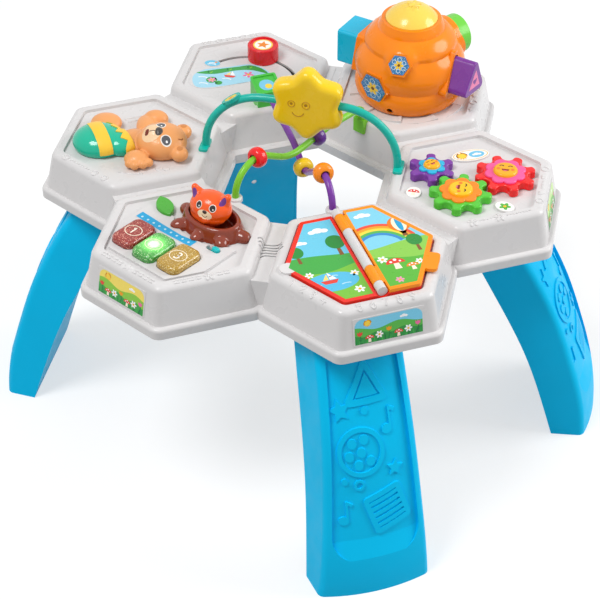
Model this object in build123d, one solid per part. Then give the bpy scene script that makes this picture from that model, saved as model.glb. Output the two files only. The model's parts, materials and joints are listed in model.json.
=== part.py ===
from build123d import *
from math import cos, degrees, pi, radians, sin, sqrt, tan
import os

# Activity table: six hexagonal play trays in a ring on four splayed legs.
# Millimetres, +Z up, floor at Z = 0, ring centre on the Z axis.
# The gears tray lies along +X, the others follow every 60 degrees.

os.makedirs("parts", exist_ok=True)

# ring of trays
RING_R = 200.0            # ring centre to tray centre
SKIRT_Z = 288.0           # floor to the lower edge of the trays
TRAY_H = 58.0             # lower edge to rim top
WALL_FOOT = 100.0         # apothem of the tray wall at its foot
WALL_HEAD = 89.0          # apothem of the tray wall at the rim
CORNER_R = 13.0           # upright corners of a tray
RIM_ROUND = 7.0
SKIRT_APOTHEM = 103.2
SKIRT_H = 13.0
SKIRT_ROUND = 4.0
HOLE_APOTHEM = 92.0       # lip around the hole in the middle
HOLE_LIP_H = 12.0
VALLEY_H = 46.0           # height of the saddle between two trays
VALLEY_W = 30.0
SEAM = 0.3                # parting line between two mouldings
SKIN = 2.6
RECESS_APOTHEM = 77.0
RECESS_CORNER = 8.0
RECESS_DEPTH = 4.0
FLOOR_T = 3.0

RIM_Z = SKIRT_Z + TRAY_H
PAN_Z = RIM_Z - RECESS_DEPTH
CEILING_Z = PAN_Z - FLOOR_T

GEARS, HIVE, POND, BEAR, FOX, BOOK = 0, 60, 120, 180, 240, 300

# legs
LEG_W_TOP = 99.0
LEG_W_FOOT = 131.0
LEG_SHIFT_TOP = 21.0      # sideways offset, away from the neighbouring leg
LEG_SHIFT_FOOT = 32.5
LEG_SKIN = 2.8
LEG_EDGE_R = 9.0
LEG_DRAFT = 6.0           # sides, wider towards the inner face
LEG_BOW = 8.0             # crest of the arched outer face over its corners
LEG_BOW_AXIS = 150.0
LEG_BOW_SHIFT = 27.0
LEG_OUTER = [(252, 290), (270, 264), (294, 221), (318, 170), (341, 105), (357, 50), (364, 0)]
LEG_INNER = [(325, 0), (307, 56), (284, 118), (259, 170), (229, 226), (207, 268), (196, 290)]
LEG_PANEL_DEPTH = 5.0
LEG_PANEL_TOP = 268.0
LEG_PANEL_END = 72.0      # where the panel floor starts to ramp out
LEG_PANEL_LIP = 46.0
LEG_PANEL_MARGIN = 10.0
EMBOSS = 2.0
TENON_R0, TENON_R1 = 214.0, 246.0
TENON_W = 74.0
TENON_H = 36.0
SOCKET_GAP = 0.4
SOCKET_SKIN = 2.6
LEGS = {"gears": (GEARS, 1), "pond": (POND, -1), "bear": (BEAR, 1), "book": (BOOK, -1)}

# base covers
BASE_T = 3.0
BASE_Z = SKIRT_Z + 2.0
BOSS_R = 4.5
BASE_SCREW_R = 1.6
BASE_SCREWS = [(-60, 46), (66, -44)]

# screws
SCREW_HEAD_R, SCREW_HEAD_H = 3.4, 2.4
SCREW_SHANK_R, SCREW_L = 1.5, 11.0
LEG_SCREW_Z = [114.0, 214.0]

# bead wires
ARCH_R = 4.75
ARCH_FOOT = 114.0
ARCH_TOP = 422.0
ARCH_FLAT = 44.0
ARCH_BEND = 70.0
WIRE_R = 4.0
WIRE_FOOT = 112.0
BEAD_R, BEAD_T = 12.0, 15.0
BEAD_BORE = WIRE_R + 1.4             # loose enough for a bent run
BEAD_BORE_STRAIGHT = WIRE_R + 0.35

# gear wheels
MODULE = 8.2
TOOTH_TIP, TOOTH_ROOT = 4.2, 6.0   # above and below the pitch circle
TOOTH_POWER = 0.45   # lower is squarer
TOOTH_BIAS = 0.15    # narrows the teeth against the gaps
TOOTH_STEPS = 16     # outline points for each tooth
TOOTH_CLEAR = 0.9
WHEEL_Z = PAN_Z + 1.0
WHEEL_H = 9.5
PEG_R = 4.0
PEG_GAP = 0.3

# hive
HIVE_FOOT_Z = PAN_Z + 1.5
HIVE_SKIN = 3.0
SPINDLE_R = 9.0
BLOCK_GAP = 0.5
COLLAR_R = 67.0


def spot(tray, x, y, z=0.0):
    """A place given from a tray's centre in the table's own axes."""
    a = radians(tray)
    return Pos(RING_R * cos(a) + x, RING_R * sin(a) + y, z)


def polar(tray, u, v, z=0.0):
    """A place in a tray's own axes: u outwards from the ring centre, v along the ring."""
    return Rot(0, 0, tray) * Pos(RING_R + u, v, z)


def hexagon(apothem, corner=0.0):
    h = RegularPolygon(apothem, 6, major_radius=False, rotation=30)
    return fillet(h.vertices(), corner) if corner else h


def slab(sketch, z0, z1):
    return extrude(Pos(0, 0, z0) * sketch, z1 - z0)


def box(x0, x1, y0, y1, z0, z1):
    return Pos((x0 + x1) / 2, (y0 + y1) / 2, (z0 + z1) / 2) * Box(x1 - x0, y1 - y0, z1 - z0)


def rod(r, z0, z1):
    return Pos(0, 0, (z0 + z1) / 2) * Cylinder(r, z1 - z0)


def egg(a, b, c):
    """An ellipsoid on the origin."""
    return scale(Sphere(1.0), by=(a, b, c))


def soft(solid, edges, r):
    """Rounds the edges, with a smaller radius where the full one does not fit."""
    for k in (1.0, 0.7, 0.4):
        try:
            out = fillet(edges, r * k)
            if out.is_valid:
                return out
        except Exception:
            continue
    return solid


def fuse(items):
    out = items[0]
    for s in items[1:]:
        out = out + s
    return out


def star_sketch(points, r_out, r_in, turn=90.0):
    pts = []
    for i in range(points * 2):
        r = r_out if i % 2 == 0 else r_in
        a = radians(turn + 180.0 * i / points)
        pts.append((r * cos(a), r * sin(a)))
    return make_face(Polyline(*pts, close=True))


# ring mouldings

def tray_block(foot, head, top, corner, rounding):
    """One tray as a tapered hexagonal block standing on the skirt plane."""
    low = Pos(0, 0, SKIRT_Z) * hexagon(foot, corner)
    high = Pos(0, 0, top) * hexagon(head, corner)
    body = loft([low.face(), high.face()])
    if rounding:
        body = soft(body, body.faces().sort_by(Axis.Z)[-1].edges(), rounding)
    return body


TRAY_OUT = tray_block(WALL_FOOT, WALL_HEAD, RIM_Z, CORNER_R, RIM_ROUND)
INNER_HEAD = WALL_FOOT - (WALL_FOOT - WALL_HEAD) * (CEILING_Z - SKIRT_Z) / TRAY_H - SKIN


def wedge(start, inset):
    """The third of the ring that starts at an angle, drawn in from its two parting planes."""
    far = 420.0
    pts = [(0, 0)]
    for a in (0, 30, 60, 90, 120):
        pts.append((far * cos(radians(a)), far * sin(radians(a))))
    s = make_face(Polyline(*pts, close=True))
    push = inset / sin(radians(60))
    return slab(Rot(0, 0, start) * Pos(push * cos(radians(60)), push * sin(radians(60))) * s, 250, 400)


def saddle(angle, r0, r1, width, top, bottom):
    """The filled valley between two trays, along a radius."""
    return Rot(0, 0, angle) * box(r0, r1, -width / 2, width / 2, bottom, top)


def ring_third(first):
    """Outside of a moulding that carries two trays."""
    parts = []
    for a in (first, first + 60):
        parts.append(Pos(RING_R * cos(radians(a)), RING_R * sin(radians(a))) * TRAY_OUT)
        skirt = slab(hexagon(SKIRT_APOTHEM, CORNER_R), SKIRT_Z, SKIRT_Z + SKIRT_H)
        skirt = soft(skirt, skirt.faces().sort_by(Axis.Z)[-1].edges(), SKIRT_ROUND)
        parts.append(Pos(RING_R * cos(radians(a)), RING_R * sin(radians(a))) * skirt)
    for a in (first - 30, first + 30, first + 90):
        s = saddle(a, 117, 225, VALLEY_W, SKIRT_Z + VALLEY_H, SKIRT_Z)
        parts.append(s)
    lip = slab(hexagon(HOLE_APOTHEM + 14) - hexagon(HOLE_APOTHEM), SKIRT_Z, SKIRT_Z + HOLE_LIP_H)
    parts.append(lip)
    return fuse(parts) & wedge(first - 30, SEAM / 2)


def ring_cavity(first, gap=0.0):
    """Inside of a moulding, down past its open underside."""
    parts = []
    low = Pos(0, 0, SKIRT_Z - 1) * hexagon(WALL_FOOT - SKIN - gap, CORNER_R - SKIN)
    high = Pos(0, 0, CEILING_Z) * hexagon(INNER_HEAD - gap, CORNER_R - SKIN)
    hollow = loft([low.face(), high.face()])
    for a in (first, first + 60):
        parts.append(Pos(RING_R * cos(radians(a)), RING_R * sin(radians(a))) * hollow)
    for a in (first - 30, first + 30, first + 90):
        top = SKIRT_Z + VALLEY_H - FLOOR_T
        parts.append(saddle(a, 121 + gap, 221 - gap, VALLEY_W - 2, top, SKIRT_Z - 1))
    return fuse(parts) & wedge(first - 30, SEAM / 2 + SKIN + gap)


def base_screw_places(first):
    return [(a, u, v) for a in (first, first + 60) for u, v in BASE_SCREWS]


def shell(first):
    body = ring_third(first) - ring_cavity(first)
    for a, u, v in base_screw_places(first):
        boss = rod(BOSS_R, BASE_Z + BASE_T, CEILING_Z + 1) - rod(1.3, BASE_Z, BASE_Z + 16)
        body = body + polar(a, u, v) * boss
    for a in (first, first + 60):
        cut = slab(hexagon(RECESS_APOTHEM, RECESS_CORNER), PAN_Z, RIM_Z + 5)
        body = body - spot(a, 0, 0) * cut
    return body


# gears and hive moulding

def wheel_radius(teeth):
    return MODULE * teeth / 2


WHEEL_GREEN = (-7.0, -40.0)
GREEN_TO_RED = radians(46.0)
GREEN_TO_PURPLE = radians(133.0)
RED_STEP = wheel_radius(8) * 2
PURPLE_STEP = wheel_radius(8) + wheel_radius(6)
WHEEL_RED = (WHEEL_GREEN[0] + RED_STEP * cos(GREEN_TO_RED), WHEEL_GREEN[1] + RED_STEP * sin(GREEN_TO_RED))
WHEEL_PURPLE = (WHEEL_GREEN[0] + PURPLE_STEP * cos(GREEN_TO_PURPLE),
                WHEEL_GREEN[1] + PURPLE_STEP * sin(GREEN_TO_PURPLE))
HIVE_SCOOPS = 10


def shell_gears_hive():
    body = shell(GEARS)
    for x, y in (WHEEL_GREEN, WHEEL_RED, WHEEL_PURPLE):
        peg = rod(PEG_R, PAN_Z - 1, WHEEL_Z + WHEEL_H - 3) + rod(PEG_R + 4, PAN_Z - 1, PAN_Z + 0.7)
        body = body + spot(GEARS, x, y) * peg
    for i in range(HIVE_SCOOPS):
        fin = box(62, 73, -1.6, 1.6, PAN_Z - 1, PAN_Z + 3)
        body = body + spot(HIVE, 0, 0) * Rot(0, 0, 18 + 36 * i) * fin
    return body


# pond and bear moulding

POND_ARC = (0.0, -22.0)       # centre of the curved slot, from the tray centre
POND_ARC_R = 62.0
SLOT_W = 5.0
SLOT_FROM, SLOT_TO = 24.0, 136.0
BEAR_PIVOT = (0.0, -8.0)
BEAR_PIVOT_R = 7.0


def arc_slot():
    path = CenterArc((0, 0), POND_ARC_R, SLOT_FROM, SLOT_TO - SLOT_FROM)
    return Pos(*POND_ARC) * SlotArc(path, SLOT_W)


def shell_pond_bear():
    body = shell(POND)
    body = body - spot(POND, 0, 0) * slab(arc_slot(), PAN_Z - 10, PAN_Z + 2)
    body = body - spot(BEAR, *BEAR_PIVOT) * rod(BEAR_PIVOT_R + 0.3, PAN_Z - 10, PAN_Z + 2)
    return body


# fox and book moulding

KEYS = {"red": (38.0, -36.0), "green": (41.0, -1.5), "gold": (38.0, 33.0)}
KEY_L, KEY_W, KEY_H = 46.0, 31.5, 8.0
KEY_Z = PAN_Z + 3.6
KEY_STEM = 5.0
KEY_TRAVEL = 3.0
PAD_H = 4.6
PLATEAU_H = 3.5
SWITCH_AT = (-3.0, 46.0)
SWITCH_SLOT_L, SWITCH_SLOT_W = 19.0, 7.5
SWITCH_SHIFT = 4.0            # the knob stands this far along its slot
STUMP_AT = (-36.0, 14.0)
STUMP_A, STUMP_B = 26.0, 39.0   # half widths along u and v
STUMP_SEAT = (STUMP_A + 8.0, STUMP_B + 12.0)
STUMP_WELL = (STUMP_A - 6.5, STUMP_B - 7.5)
STUMP_H = 17.0
STUMP_FLOOR = 2.4
STUMP_GAP = 0.4
GRILLE_R = 169.0
BOARD_L, BOARD_W = 46.0, 104.0
BOARD_AT = (35.0, -1.5)
BOARD_Z = 320.0
BOARD_T = 1.6


def key_outline(grow=0.0):
    r = Rectangle(KEY_L + 2 * grow, KEY_W + 2 * grow)
    return fillet(r.vertices(), 9.0 + grow)


def wavy_slots():
    out = Sketch()
    for i in range(5):
        y = 5.0 * (i - 2)
        path = Spline((-13, y - 1), (-6, y + 1.6), (1, y - 0.6), (8, y - 1.6), (13, y + 1))
        out = out + trace(path, 1.8)
    return out


def shell_fox_book():
    body = shell(FOX)
    field = Pos(26, 0) * Rectangle(88, 132)
    plate = Rot(0, 0, FOX) * slab(field, PAN_Z - 1, PAN_Z + PLATEAU_H)
    plate = plate & slab(hexagon(RECESS_APOTHEM - 4, 6), PAN_Z - 1, PAN_Z + 9)
    body = body + spot(FOX, 0, 0) * plate
    for u, v in KEYS.values():
        well = slab(key_outline(0.6), PAN_Z, PAN_Z + 9)
        well = well + rod(KEY_STEM + 0.4, PAN_Z - 9, PAN_Z + 1)
        body = body - polar(FOX, u, v) * well
    slot = slab(SlotOverall(SWITCH_SLOT_L, SWITCH_SLOT_W, rotation=90), PAN_Z - 9, PAN_Z + 9)
    body = body - polar(FOX, *SWITCH_AT) * slot
    stump_seat = slab(Ellipse(*STUMP_SEAT), PAN_Z, PAN_Z + 9)
    body = body - polar(FOX, *STUMP_AT) * stump_seat
    body = body - leaf_place() * slab(leaf_outline(0.4), 0, 20)
    grille = slab(Rot(0, 0, 20) * wavy_slots(), 320, 350)
    body = body - Pos(0, -GRILLE_R, 0) * grille
    for du in (-18, 18):
        for dv in (-48, 48):
            post = rod(3.0, BOARD_Z + BOARD_T, CEILING_Z + 1)
            body = body + polar(FOX, BOARD_AT[0] + du, BOARD_AT[1] + dv) * post
    for a in (FOX, BOOK):
        boss = rod(8.0, RIM_Z - 2, RIM_Z + 3)
        boss = soft(boss, boss.faces().sort_by(Axis.Z)[-1].edges(), 1.5)
        boss = boss - rod(WIRE_R + 0.1, RIM_Z - 3, RIM_Z + 9)
        body = body - Rot(0, 0, a) * Pos(WIRE_FOOT, 0, 0) * rod(8.0, RIM_Z - 2, RIM_Z + 9)
        body = body + Rot(0, 0, a) * Pos(WIRE_FOOT, 0, 0) * boss
    return body


# base covers, with the sockets that the legs plug into

BATTERY_BAY = (-70.0, -8.0, -32.0, 32.0)    # u and v limits inside the book tray
BAY_H = 20.0
DOOR_GAP = 0.4


def leg_middle(side, z):
    """Sideways place of a leg's middle line at a height."""
    k = z / 290.0
    return side * (LEG_SHIFT_FOOT + (LEG_SHIFT_TOP - LEG_SHIFT_FOOT) * k)


def leg_half(z):
    k = z / 290.0
    return (LEG_W_FOOT + (LEG_W_TOP - LEG_W_FOOT) * k) / 2


def tenon(side, grow):
    m = leg_middle(side, 290.0)
    z0 = BASE_Z - 2
    return box(TENON_R0 - grow, TENON_R1 + grow, m - TENON_W / 2 - grow, m + TENON_W / 2 + grow,
               z0, BASE_Z + TENON_H + grow)


def base_cover(first):
    plate = ring_cavity(first, 0.5) & box(-400, 400, -400, 400, BASE_Z, BASE_Z + BASE_T)
    for angle, side in LEGS.values():
        if angle in (first, first + 60):
            sock = tenon(side, SOCKET_GAP + SOCKET_SKIN) & box(-400, 400, -400, 400, BASE_Z, 400)
            plate = plate + Rot(0, 0, angle) * sock
            plate = plate - Rot(0, 0, angle) * tenon(side, SOCKET_GAP)
    for a, u, v in base_screw_places(first):
        hole = rod(BASE_SCREW_R, BASE_Z - 1, BASE_Z + BASE_T + 1)
        plate = plate - polar(a, u, v) * hole
    if first == FOX:
        u0, u1, v0, v1 = BATTERY_BAY
        t = SOCKET_SKIN
        bay = box(u0 - t, u1 + t, v0 - t, v1 + t, BASE_Z, BASE_Z + BAY_H + t)
        bay = bay - box(u0, u1, v0, v1, BASE_Z - 1, BASE_Z + BAY_H)
        plate = plate - polar(BOOK, 0, 0) * box(u0, u1, v0, v1, BASE_Z - 1, BASE_Z + 9)
        plate = plate + polar(BOOK, 0, 0) * bay
    return plate


def battery_door():
    u0, u1, v0, v1 = BATTERY_BAY
    g = DOOR_GAP
    door = box(u0 + g, u1 - g, v0 + g, v1 - g, BASE_Z, BASE_Z + 2.4)
    ribs = [box(u0 + 8 + 7 * i, u0 + 10 + 7 * i, v0 + 8, v1 - 8, BASE_Z - 0.8, BASE_Z + 1) for i in range(7)]
    ribs = fuse(ribs)
    return polar(BOOK, 0, 0) * (door + ribs)


def batteries():
    u0 = BATTERY_BAY[0]
    out = []
    for i in range(3):
        cell = Rot(90, 0, 0) * Cylinder(7.1, 50)
        tip = Pos(0, 25.6, 0) * Rot(90, 0, 0) * Cylinder(2.6, 1.4)
        out.append(polar(BOOK, u0 + 13.5 + 17.5 * i, 0, BASE_Z + BAY_H - 7.1) * (cell + tip))
    return out


def base_screws():
    out = []
    for first in (GEARS, POND, FOX):
        for a, u, v in base_screw_places(first):
            s = rod(SCREW_HEAD_R, BASE_Z - SCREW_HEAD_H, BASE_Z) + rod(1.25, BASE_Z - 1, BASE_Z + SCREW_L)
            out.append(polar(a, u, v) * s)
    return out


# legs

def leg_arch(side, shift_out):
    """Everything behind the arched outer face, which is turned about an upright axis."""
    pts = [(x + LEG_BOW + shift_out, z) for x, z in LEG_OUTER]
    low, high = (LEG_BOW_AXIS, pts[-1][1]), (LEG_BOW_AXIS, pts[0][1])
    face = make_face([Spline(*pts), Line(pts[-1], low), Line(low, high), Line(high, pts[0])])
    return Pos(0, side * LEG_BOW_SHIFT, 0) * revolve(Plane.XZ * face, Axis((LEG_BOW_AXIS, 0, 0), (0, 0, 1)))


def leg_slice(side, z_low, z_high, shift_out, shift_in):
    """Leg side profile, its two long faces moved along the radius."""
    out_pts = [(x + LEG_BOW + shift_out + 3, z) for x, z in LEG_OUTER]
    in_pts = [(x + shift_in, z) for x, z in LEG_INNER]
    e1 = Spline(*out_pts)
    e2 = Line(out_pts[-1], in_pts[0])
    e3 = Spline(*in_pts)
    e4 = Line(in_pts[-1], out_pts[0])
    face = Plane.XZ * make_face([e1, e2, e3, e4])
    body = extrude(face, 120, both=True) & leg_arch(side, shift_out)
    return body & box(100, 460, -200, 200, z_low, z_high)


def leg_front(side, inset, z_low, z_high, bow=0.0):
    """Leg front outline swept along the radius, its two sides drawn in."""
    pts = []
    for z, s in ((z_low, -1), (z_low, 1), (z_high, 1), (z_high, -1)):
        pts.append((leg_middle(side, z) + s * (leg_half(z) - inset), z))
    face = make_face(Polyline(*pts, close=True))
    if bow:
        low = face.vertices().sort_by(Axis.Y)[:2]
        face = fillet(low, bow)
    return extrude(Pos(150, 0, 0) * (Plane.YZ * face), 280)


def leg_drafted(side, inset):
    """Leg front outline with drafted sides, past both ends of the leg."""
    pts = []
    for z, s in ((-80.0, -1), (-80.0, 1), (370.0, 1), (370.0, -1)):
        outer = LEG_OUTER[-1][0] + (LEG_OUTER[0][0] - LEG_OUTER[-1][0]) * z / 290.0
        wide = leg_half(z) + tan(radians(LEG_DRAFT)) * (outer - 150.0)
        pts.append((leg_middle(side, z) + s * (wide - inset), z))
    face = make_face(Polyline(*pts, close=True))
    return extrude(Pos(150, 0, 0) * (Plane.YZ * face), 240, taper=LEG_DRAFT)


def note_sketch():
    head = Pos(-2.5, -9) * Ellipse(6, 5)
    stem = Pos(2.2, 2) * Rectangle(2.6, 22)
    flag = Pos(5, 10) * Rot(0, 0, -30) * Rectangle(8, 3.4)
    return head + stem + flag


def emboss_sketch():
    """The raised shapes on a leg panel, around the leg's middle line."""
    tri = Polyline((-27, -20), (27, -20), (3, 27), close=True)
    hole = Polyline((-15, -13.5), (17, -13.5), (2.6, 15), close=True)
    core = Polyline((-12, -12), (14, -12), (2.4, 11.5), close=True)
    out = Pos(2, 240) * (fillet(make_face(tri).vertices(), 4) - make_face(hole) + make_face(core))
    out = out + Pos(-29, 217) * star_sketch(5, 12, 6, 100)
    out = out + Pos(-2, 214) * Circle(4)
    out = out + Pos(24, 199) * note_sketch()
    wheel = Circle(27) - Circle(22)
    wheel = wheel + Circle(5.2)
    for i in range(6):
        a = radians(60 * i + 12)
        wheel = wheel + Pos(14.2 * cos(a), 14.2 * sin(a)) * Circle(5.2)
    out = out + Pos(-11, 171) * wheel
    out = out + Pos(26, 146) * star_sketch(5, 9.5, 4.6, 80)
    out = out + Pos(-33, 141) * Circle(3.6)
    out = out + Pos(-17, 135) * (Circle(6) - Circle(3.4))
    out = out + Pos(-36, 105) * note_sketch()
    frame = fillet(Rectangle(46, 46).vertices(), 5) - Rectangle(34, 34)
    for i in range(5):
        frame = frame + Pos(0, -13.6 + 6.8 * i) * Rectangle(34, 4.2)
    out = out + Pos(13, 102) * Rot(0, 0, 17) * frame
    return out


EMBOSS_SKETCH = emboss_sketch()


def leg_screw_spots(side):
    out = []
    for z in LEG_SCREW_Z:
        x = 0.0
        for (x0, z0), (x1, z1) in zip(LEG_INNER, LEG_INNER[1:]):
            if z0 <= z <= z1:
                x = x0 + (x1 - x0) * (z - z0) / (z1 - z0)
        out.append((x, leg_middle(side, z), z))
    return out


def along_x(shape):
    """Turns a shape that stands on Z so that it points along +X."""
    return Rot(0, 90, 0) * shape


LEG_SEAT = 6.0             # depth of the screw seats in the inner cover


def leg_body(side):
    solid = leg_slice(side, 0, BASE_Z, 0, 0) & leg_drafted(side, 0)
    long_edges = [e for e in solid.edges() if e.bounding_box().size.Z > 200]
    outer = sorted(long_edges, key=lambda e: -(e @ 0.5).X)[:2]
    solid = soft(solid, outer, LEG_EDGE_R)
    hollow = leg_slice(side, 5, 282, -LEG_SKIN - LEG_PANEL_DEPTH, -40) & leg_drafted(side, LEG_SKIN)
    floor = leg_arch(side, -LEG_PANEL_DEPTH)
    panel = leg_front(side, LEG_PANEL_MARGIN, LEG_PANEL_LIP, LEG_PANEL_TOP, 30) - floor
    low_in, high_in = LEG_BOW_AXIS + 20, 430.0
    ramp_pts = [(low_in, LEG_PANEL_LIP - 12), (high_in, LEG_PANEL_LIP - 12), (high_in, LEG_PANEL_LIP - 4),
                (358.5 + LEG_BOW, LEG_PANEL_LIP), (351 + LEG_BOW - LEG_PANEL_DEPTH, LEG_PANEL_END),
                (low_in, LEG_PANEL_END)]
    ramp_face = Plane.XZ * make_face(Polyline(*ramp_pts, close=True))
    ramp = revolve(ramp_face, Axis((LEG_BOW_AXIS, 0, 0), (0, 0, 1)))
    body = solid - hollow - (panel - Pos(0, side * LEG_BOW_SHIFT, 0) * ramp)
    band = leg_arch(side, -LEG_PANEL_DEPTH + EMBOSS) - leg_arch(side, -LEG_PANEL_DEPTH - 1)
    marks = extrude(Pos(220, leg_middle(side, 150), 0) * (Plane.YZ * EMBOSS_SKETCH), 200) & band
    body = body + (marks & leg_front(side, LEG_PANEL_MARGIN, LEG_PANEL_END, LEG_PANEL_TOP))
    for x, y, z in leg_screw_spots(side):
        boss = Pos(x + LEG_SEAT + 2, y, z) * along_x(rod(4.5, 0, 70) - rod(1.2, -1, 8))
        body = body + (boss & leg_slice(side, 0, BASE_Z, -3 - LEG_PANEL_DEPTH, -40))
    return body + tenon(side, 0)


def leg_cover(side):
    solid = leg_slice(side, 5.4, 281.6, 0, 0) - leg_slice(side, 0, 290, 5, LEG_SKIN)
    solid = solid & leg_drafted(side, LEG_SKIN + 0.3)
    for x, y, z in leg_screw_spots(side):
        seat = Pos(x, y, z) * along_x(rod(6.5, -4, LEG_SEAT + 2))
        solid = solid + (seat & leg_slice(side, 5.4, 281.6, 0, 0))
        solid = solid - Pos(x, y, z) * along_x(rod(SCREW_HEAD_R + 0.4, -20, LEG_SEAT - SCREW_HEAD_H))
        solid = solid - Pos(x, y, z) * along_x(rod(SCREW_SHANK_R + 0.2, -20, 40))
    return solid


def leg_screws():
    out = []
    for angle, side in LEGS.values():
        for x, y, z in leg_screw_spots(side):
            seat = LEG_SEAT - SCREW_HEAD_H
            s = rod(SCREW_HEAD_R, seat - SCREW_HEAD_H, seat) + rod(1.15, seat - 1, LEG_SEAT + 8)
            out.append(Rot(0, 0, angle) * Pos(x, y, z) * along_x(s))
    return out


# bear tray

NECK_LINE = (-12.0, -12.0)   # a point on the neck line of the romper
NECK_TURN = 42.0
NECK_BAND = 3.0              # from the neck line to the romper's edge


def neck_place():
    return Pos(*NECK_LINE, 0) * Rot(0, 0, NECK_TURN)


def tummy_solid(grow):
    main = Pos(-39, -20, PAN_Z + 8) * egg(32 + grow, 29 + grow, 18 + grow)
    mid = Pos(-14, -20, PAN_Z + 8) * egg(24 + grow, 20 + grow, 14 + grow)
    return (main + mid) - neck_place() * box(NECK_BAND, 150, -150, 150, PAN_Z - 50, PAN_Z + 80)


BEAR_CLEAR = 0.6


def bear_clip(s):
    return s & box(-90, 90, -90, 90, PAN_Z + BEAR_CLEAR, 420)


def bear_tummy():
    return spot(BEAR, 0, 0) * bear_clip(tummy_solid(0))


def bear_figure():
    bits = [
        Pos(35.5, -12.5, PAN_Z + 12) * egg(30, 28.5, 20),     # head
        Pos(28.5, -15, PAN_Z + 26) * egg(13, 11, 8),          # muzzle
        Pos(54, 15, PAN_Z + 10) * egg(10.5, 10, 9),           # ears
        Pos(61.5, -31, PAN_Z + 10) * egg(10.5, 10, 9),
        Pos(2, -10, PAN_Z + 6) * egg(22, 22, 11),             # chest
        Pos(8, 22, PAN_Z + 6) * Rot(0, 0, 20) * egg(13, 24, 9),   # raised arm
        Pos(14, 41, PAN_Z + 7) * egg(15, 12, 10),
        Pos(14, -47, PAN_Z + 7) * egg(15, 13, 10),            # near paw
        Pos(-42, 20, PAN_Z + 7) * egg(19, 17, 10),            # raised foot
    ]
    body = bear_clip(fuse(bits))
    body = body - bear_clip(tummy_solid(0))
    body = body - box(-90, -20, -60, -15, PAN_Z - 5, 420)
    hub = rod(BEAR_PIVOT_R, PAN_Z - 5, PAN_Z + 4) + rod(BEAR_PIVOT_R + 3, PAN_Z - 6.6, PAN_Z - 3.6)
    hub = Pos(*BEAR_PIVOT) * (hub + rod(BEAR_PIVOT_R - 0.5, PAN_Z - 5, PAN_Z + 8))
    body = body + (hub - bear_clip(tummy_solid(0)))
    return spot(BEAR, 0, 0) * body


COLLAR_TEETH = 5
COLLAR_TOOTH = 13.0


def bear_trim():
    """Yellow patch over the tummy and the pointed collar at its neck."""
    skin = bear_clip(tummy_solid(1.1) - tummy_solid(0))
    patch = Pos(-36, -25, PAN_Z) * Rot(0, 0, 34) * box(-8, 8, -26, 25, 6, 60)
    zig = [(NECK_BAND, -COLLAR_TOOTH * COLLAR_TEETH / 2), (NECK_BAND, COLLAR_TOOTH * COLLAR_TEETH / 2)]
    for i in range(COLLAR_TEETH):
        top = COLLAR_TOOTH * (COLLAR_TEETH / 2 - i)
        zig += [(-2.5, top), (-9.0, top - COLLAR_TOOTH / 2)]
    zig.append((-2.5, -COLLAR_TOOTH * COLLAR_TEETH / 2))
    collar = neck_place() * slab(make_face(Polyline(*zig, close=True)), PAN_Z + 4, PAN_Z + 60)
    neck = bear_figure_room()
    return spot(BEAR, 0, 0) * ((skin & (patch + collar)) - neck)


def bear_figure_room():
    return fuse([
        Pos(35.5, -12.5, PAN_Z + 12) * egg(30.4, 28.9, 20.4),
        Pos(2, -10, PAN_Z + 6) * egg(22.3, 22.3, 11.3),
        Pos(-42, 20, PAN_Z + 7) * egg(19.3, 17.3, 10.3),
        Pos(14, -47, PAN_Z + 7) * egg(15.3, 13.3, 10.3),
    ])


# fox tray

def key(name):
    u, v = KEYS[name]
    cap = slab(key_outline(), KEY_Z, KEY_Z + KEY_H)
    cap = soft(cap, cap.faces().sort_by(Axis.Z)[-1].edges(), 4.5)
    stem = rod(KEY_STEM, BOARD_Z + BOARD_T + PAD_H + KEY_TRAVEL + 0.4, KEY_Z + 1)
    return polar(FOX, u, v) * (cap + stem)


def key_pads():
    out = []
    for u, v in KEYS.values():
        pad = Cone(7.5, 5.5, PAD_H, align=(Align.CENTER, Align.CENTER, Align.MIN))
        pad = Pos(0, 0, BOARD_Z + BOARD_T) * pad
        out.append(polar(FOX, u, v) * pad)
    return out


def circuit_board():
    b = slab(fillet(Rectangle(BOARD_L, BOARD_W).vertices(), 3), BOARD_Z, BOARD_Z + BOARD_T)
    chip = box(-8, 8, 18, 30, BOARD_Z - 3, BOARD_Z + 0.2)
    return polar(FOX, *BOARD_AT) * (b + chip)


def mode_switch():
    knob = slab(SlotOverall(9.5, 6.4, rotation=90), PAN_Z + 0.6, PAN_Z + 7.2)
    knob = soft(knob, knob.faces().sort_by(Axis.Z)[-1].edges(), 1.6)
    foot = slab(Rectangle(9.5, 22), PAN_Z - 6.4, PAN_Z - 3.4)
    neck = slab(SlotOverall(9.0, 5.0, rotation=90), PAN_Z - 4, PAN_Z + 1)
    return polar(FOX, SWITCH_AT[0], SWITCH_AT[1] + SWITCH_SHIFT) * (knob + foot + neck)


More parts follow.
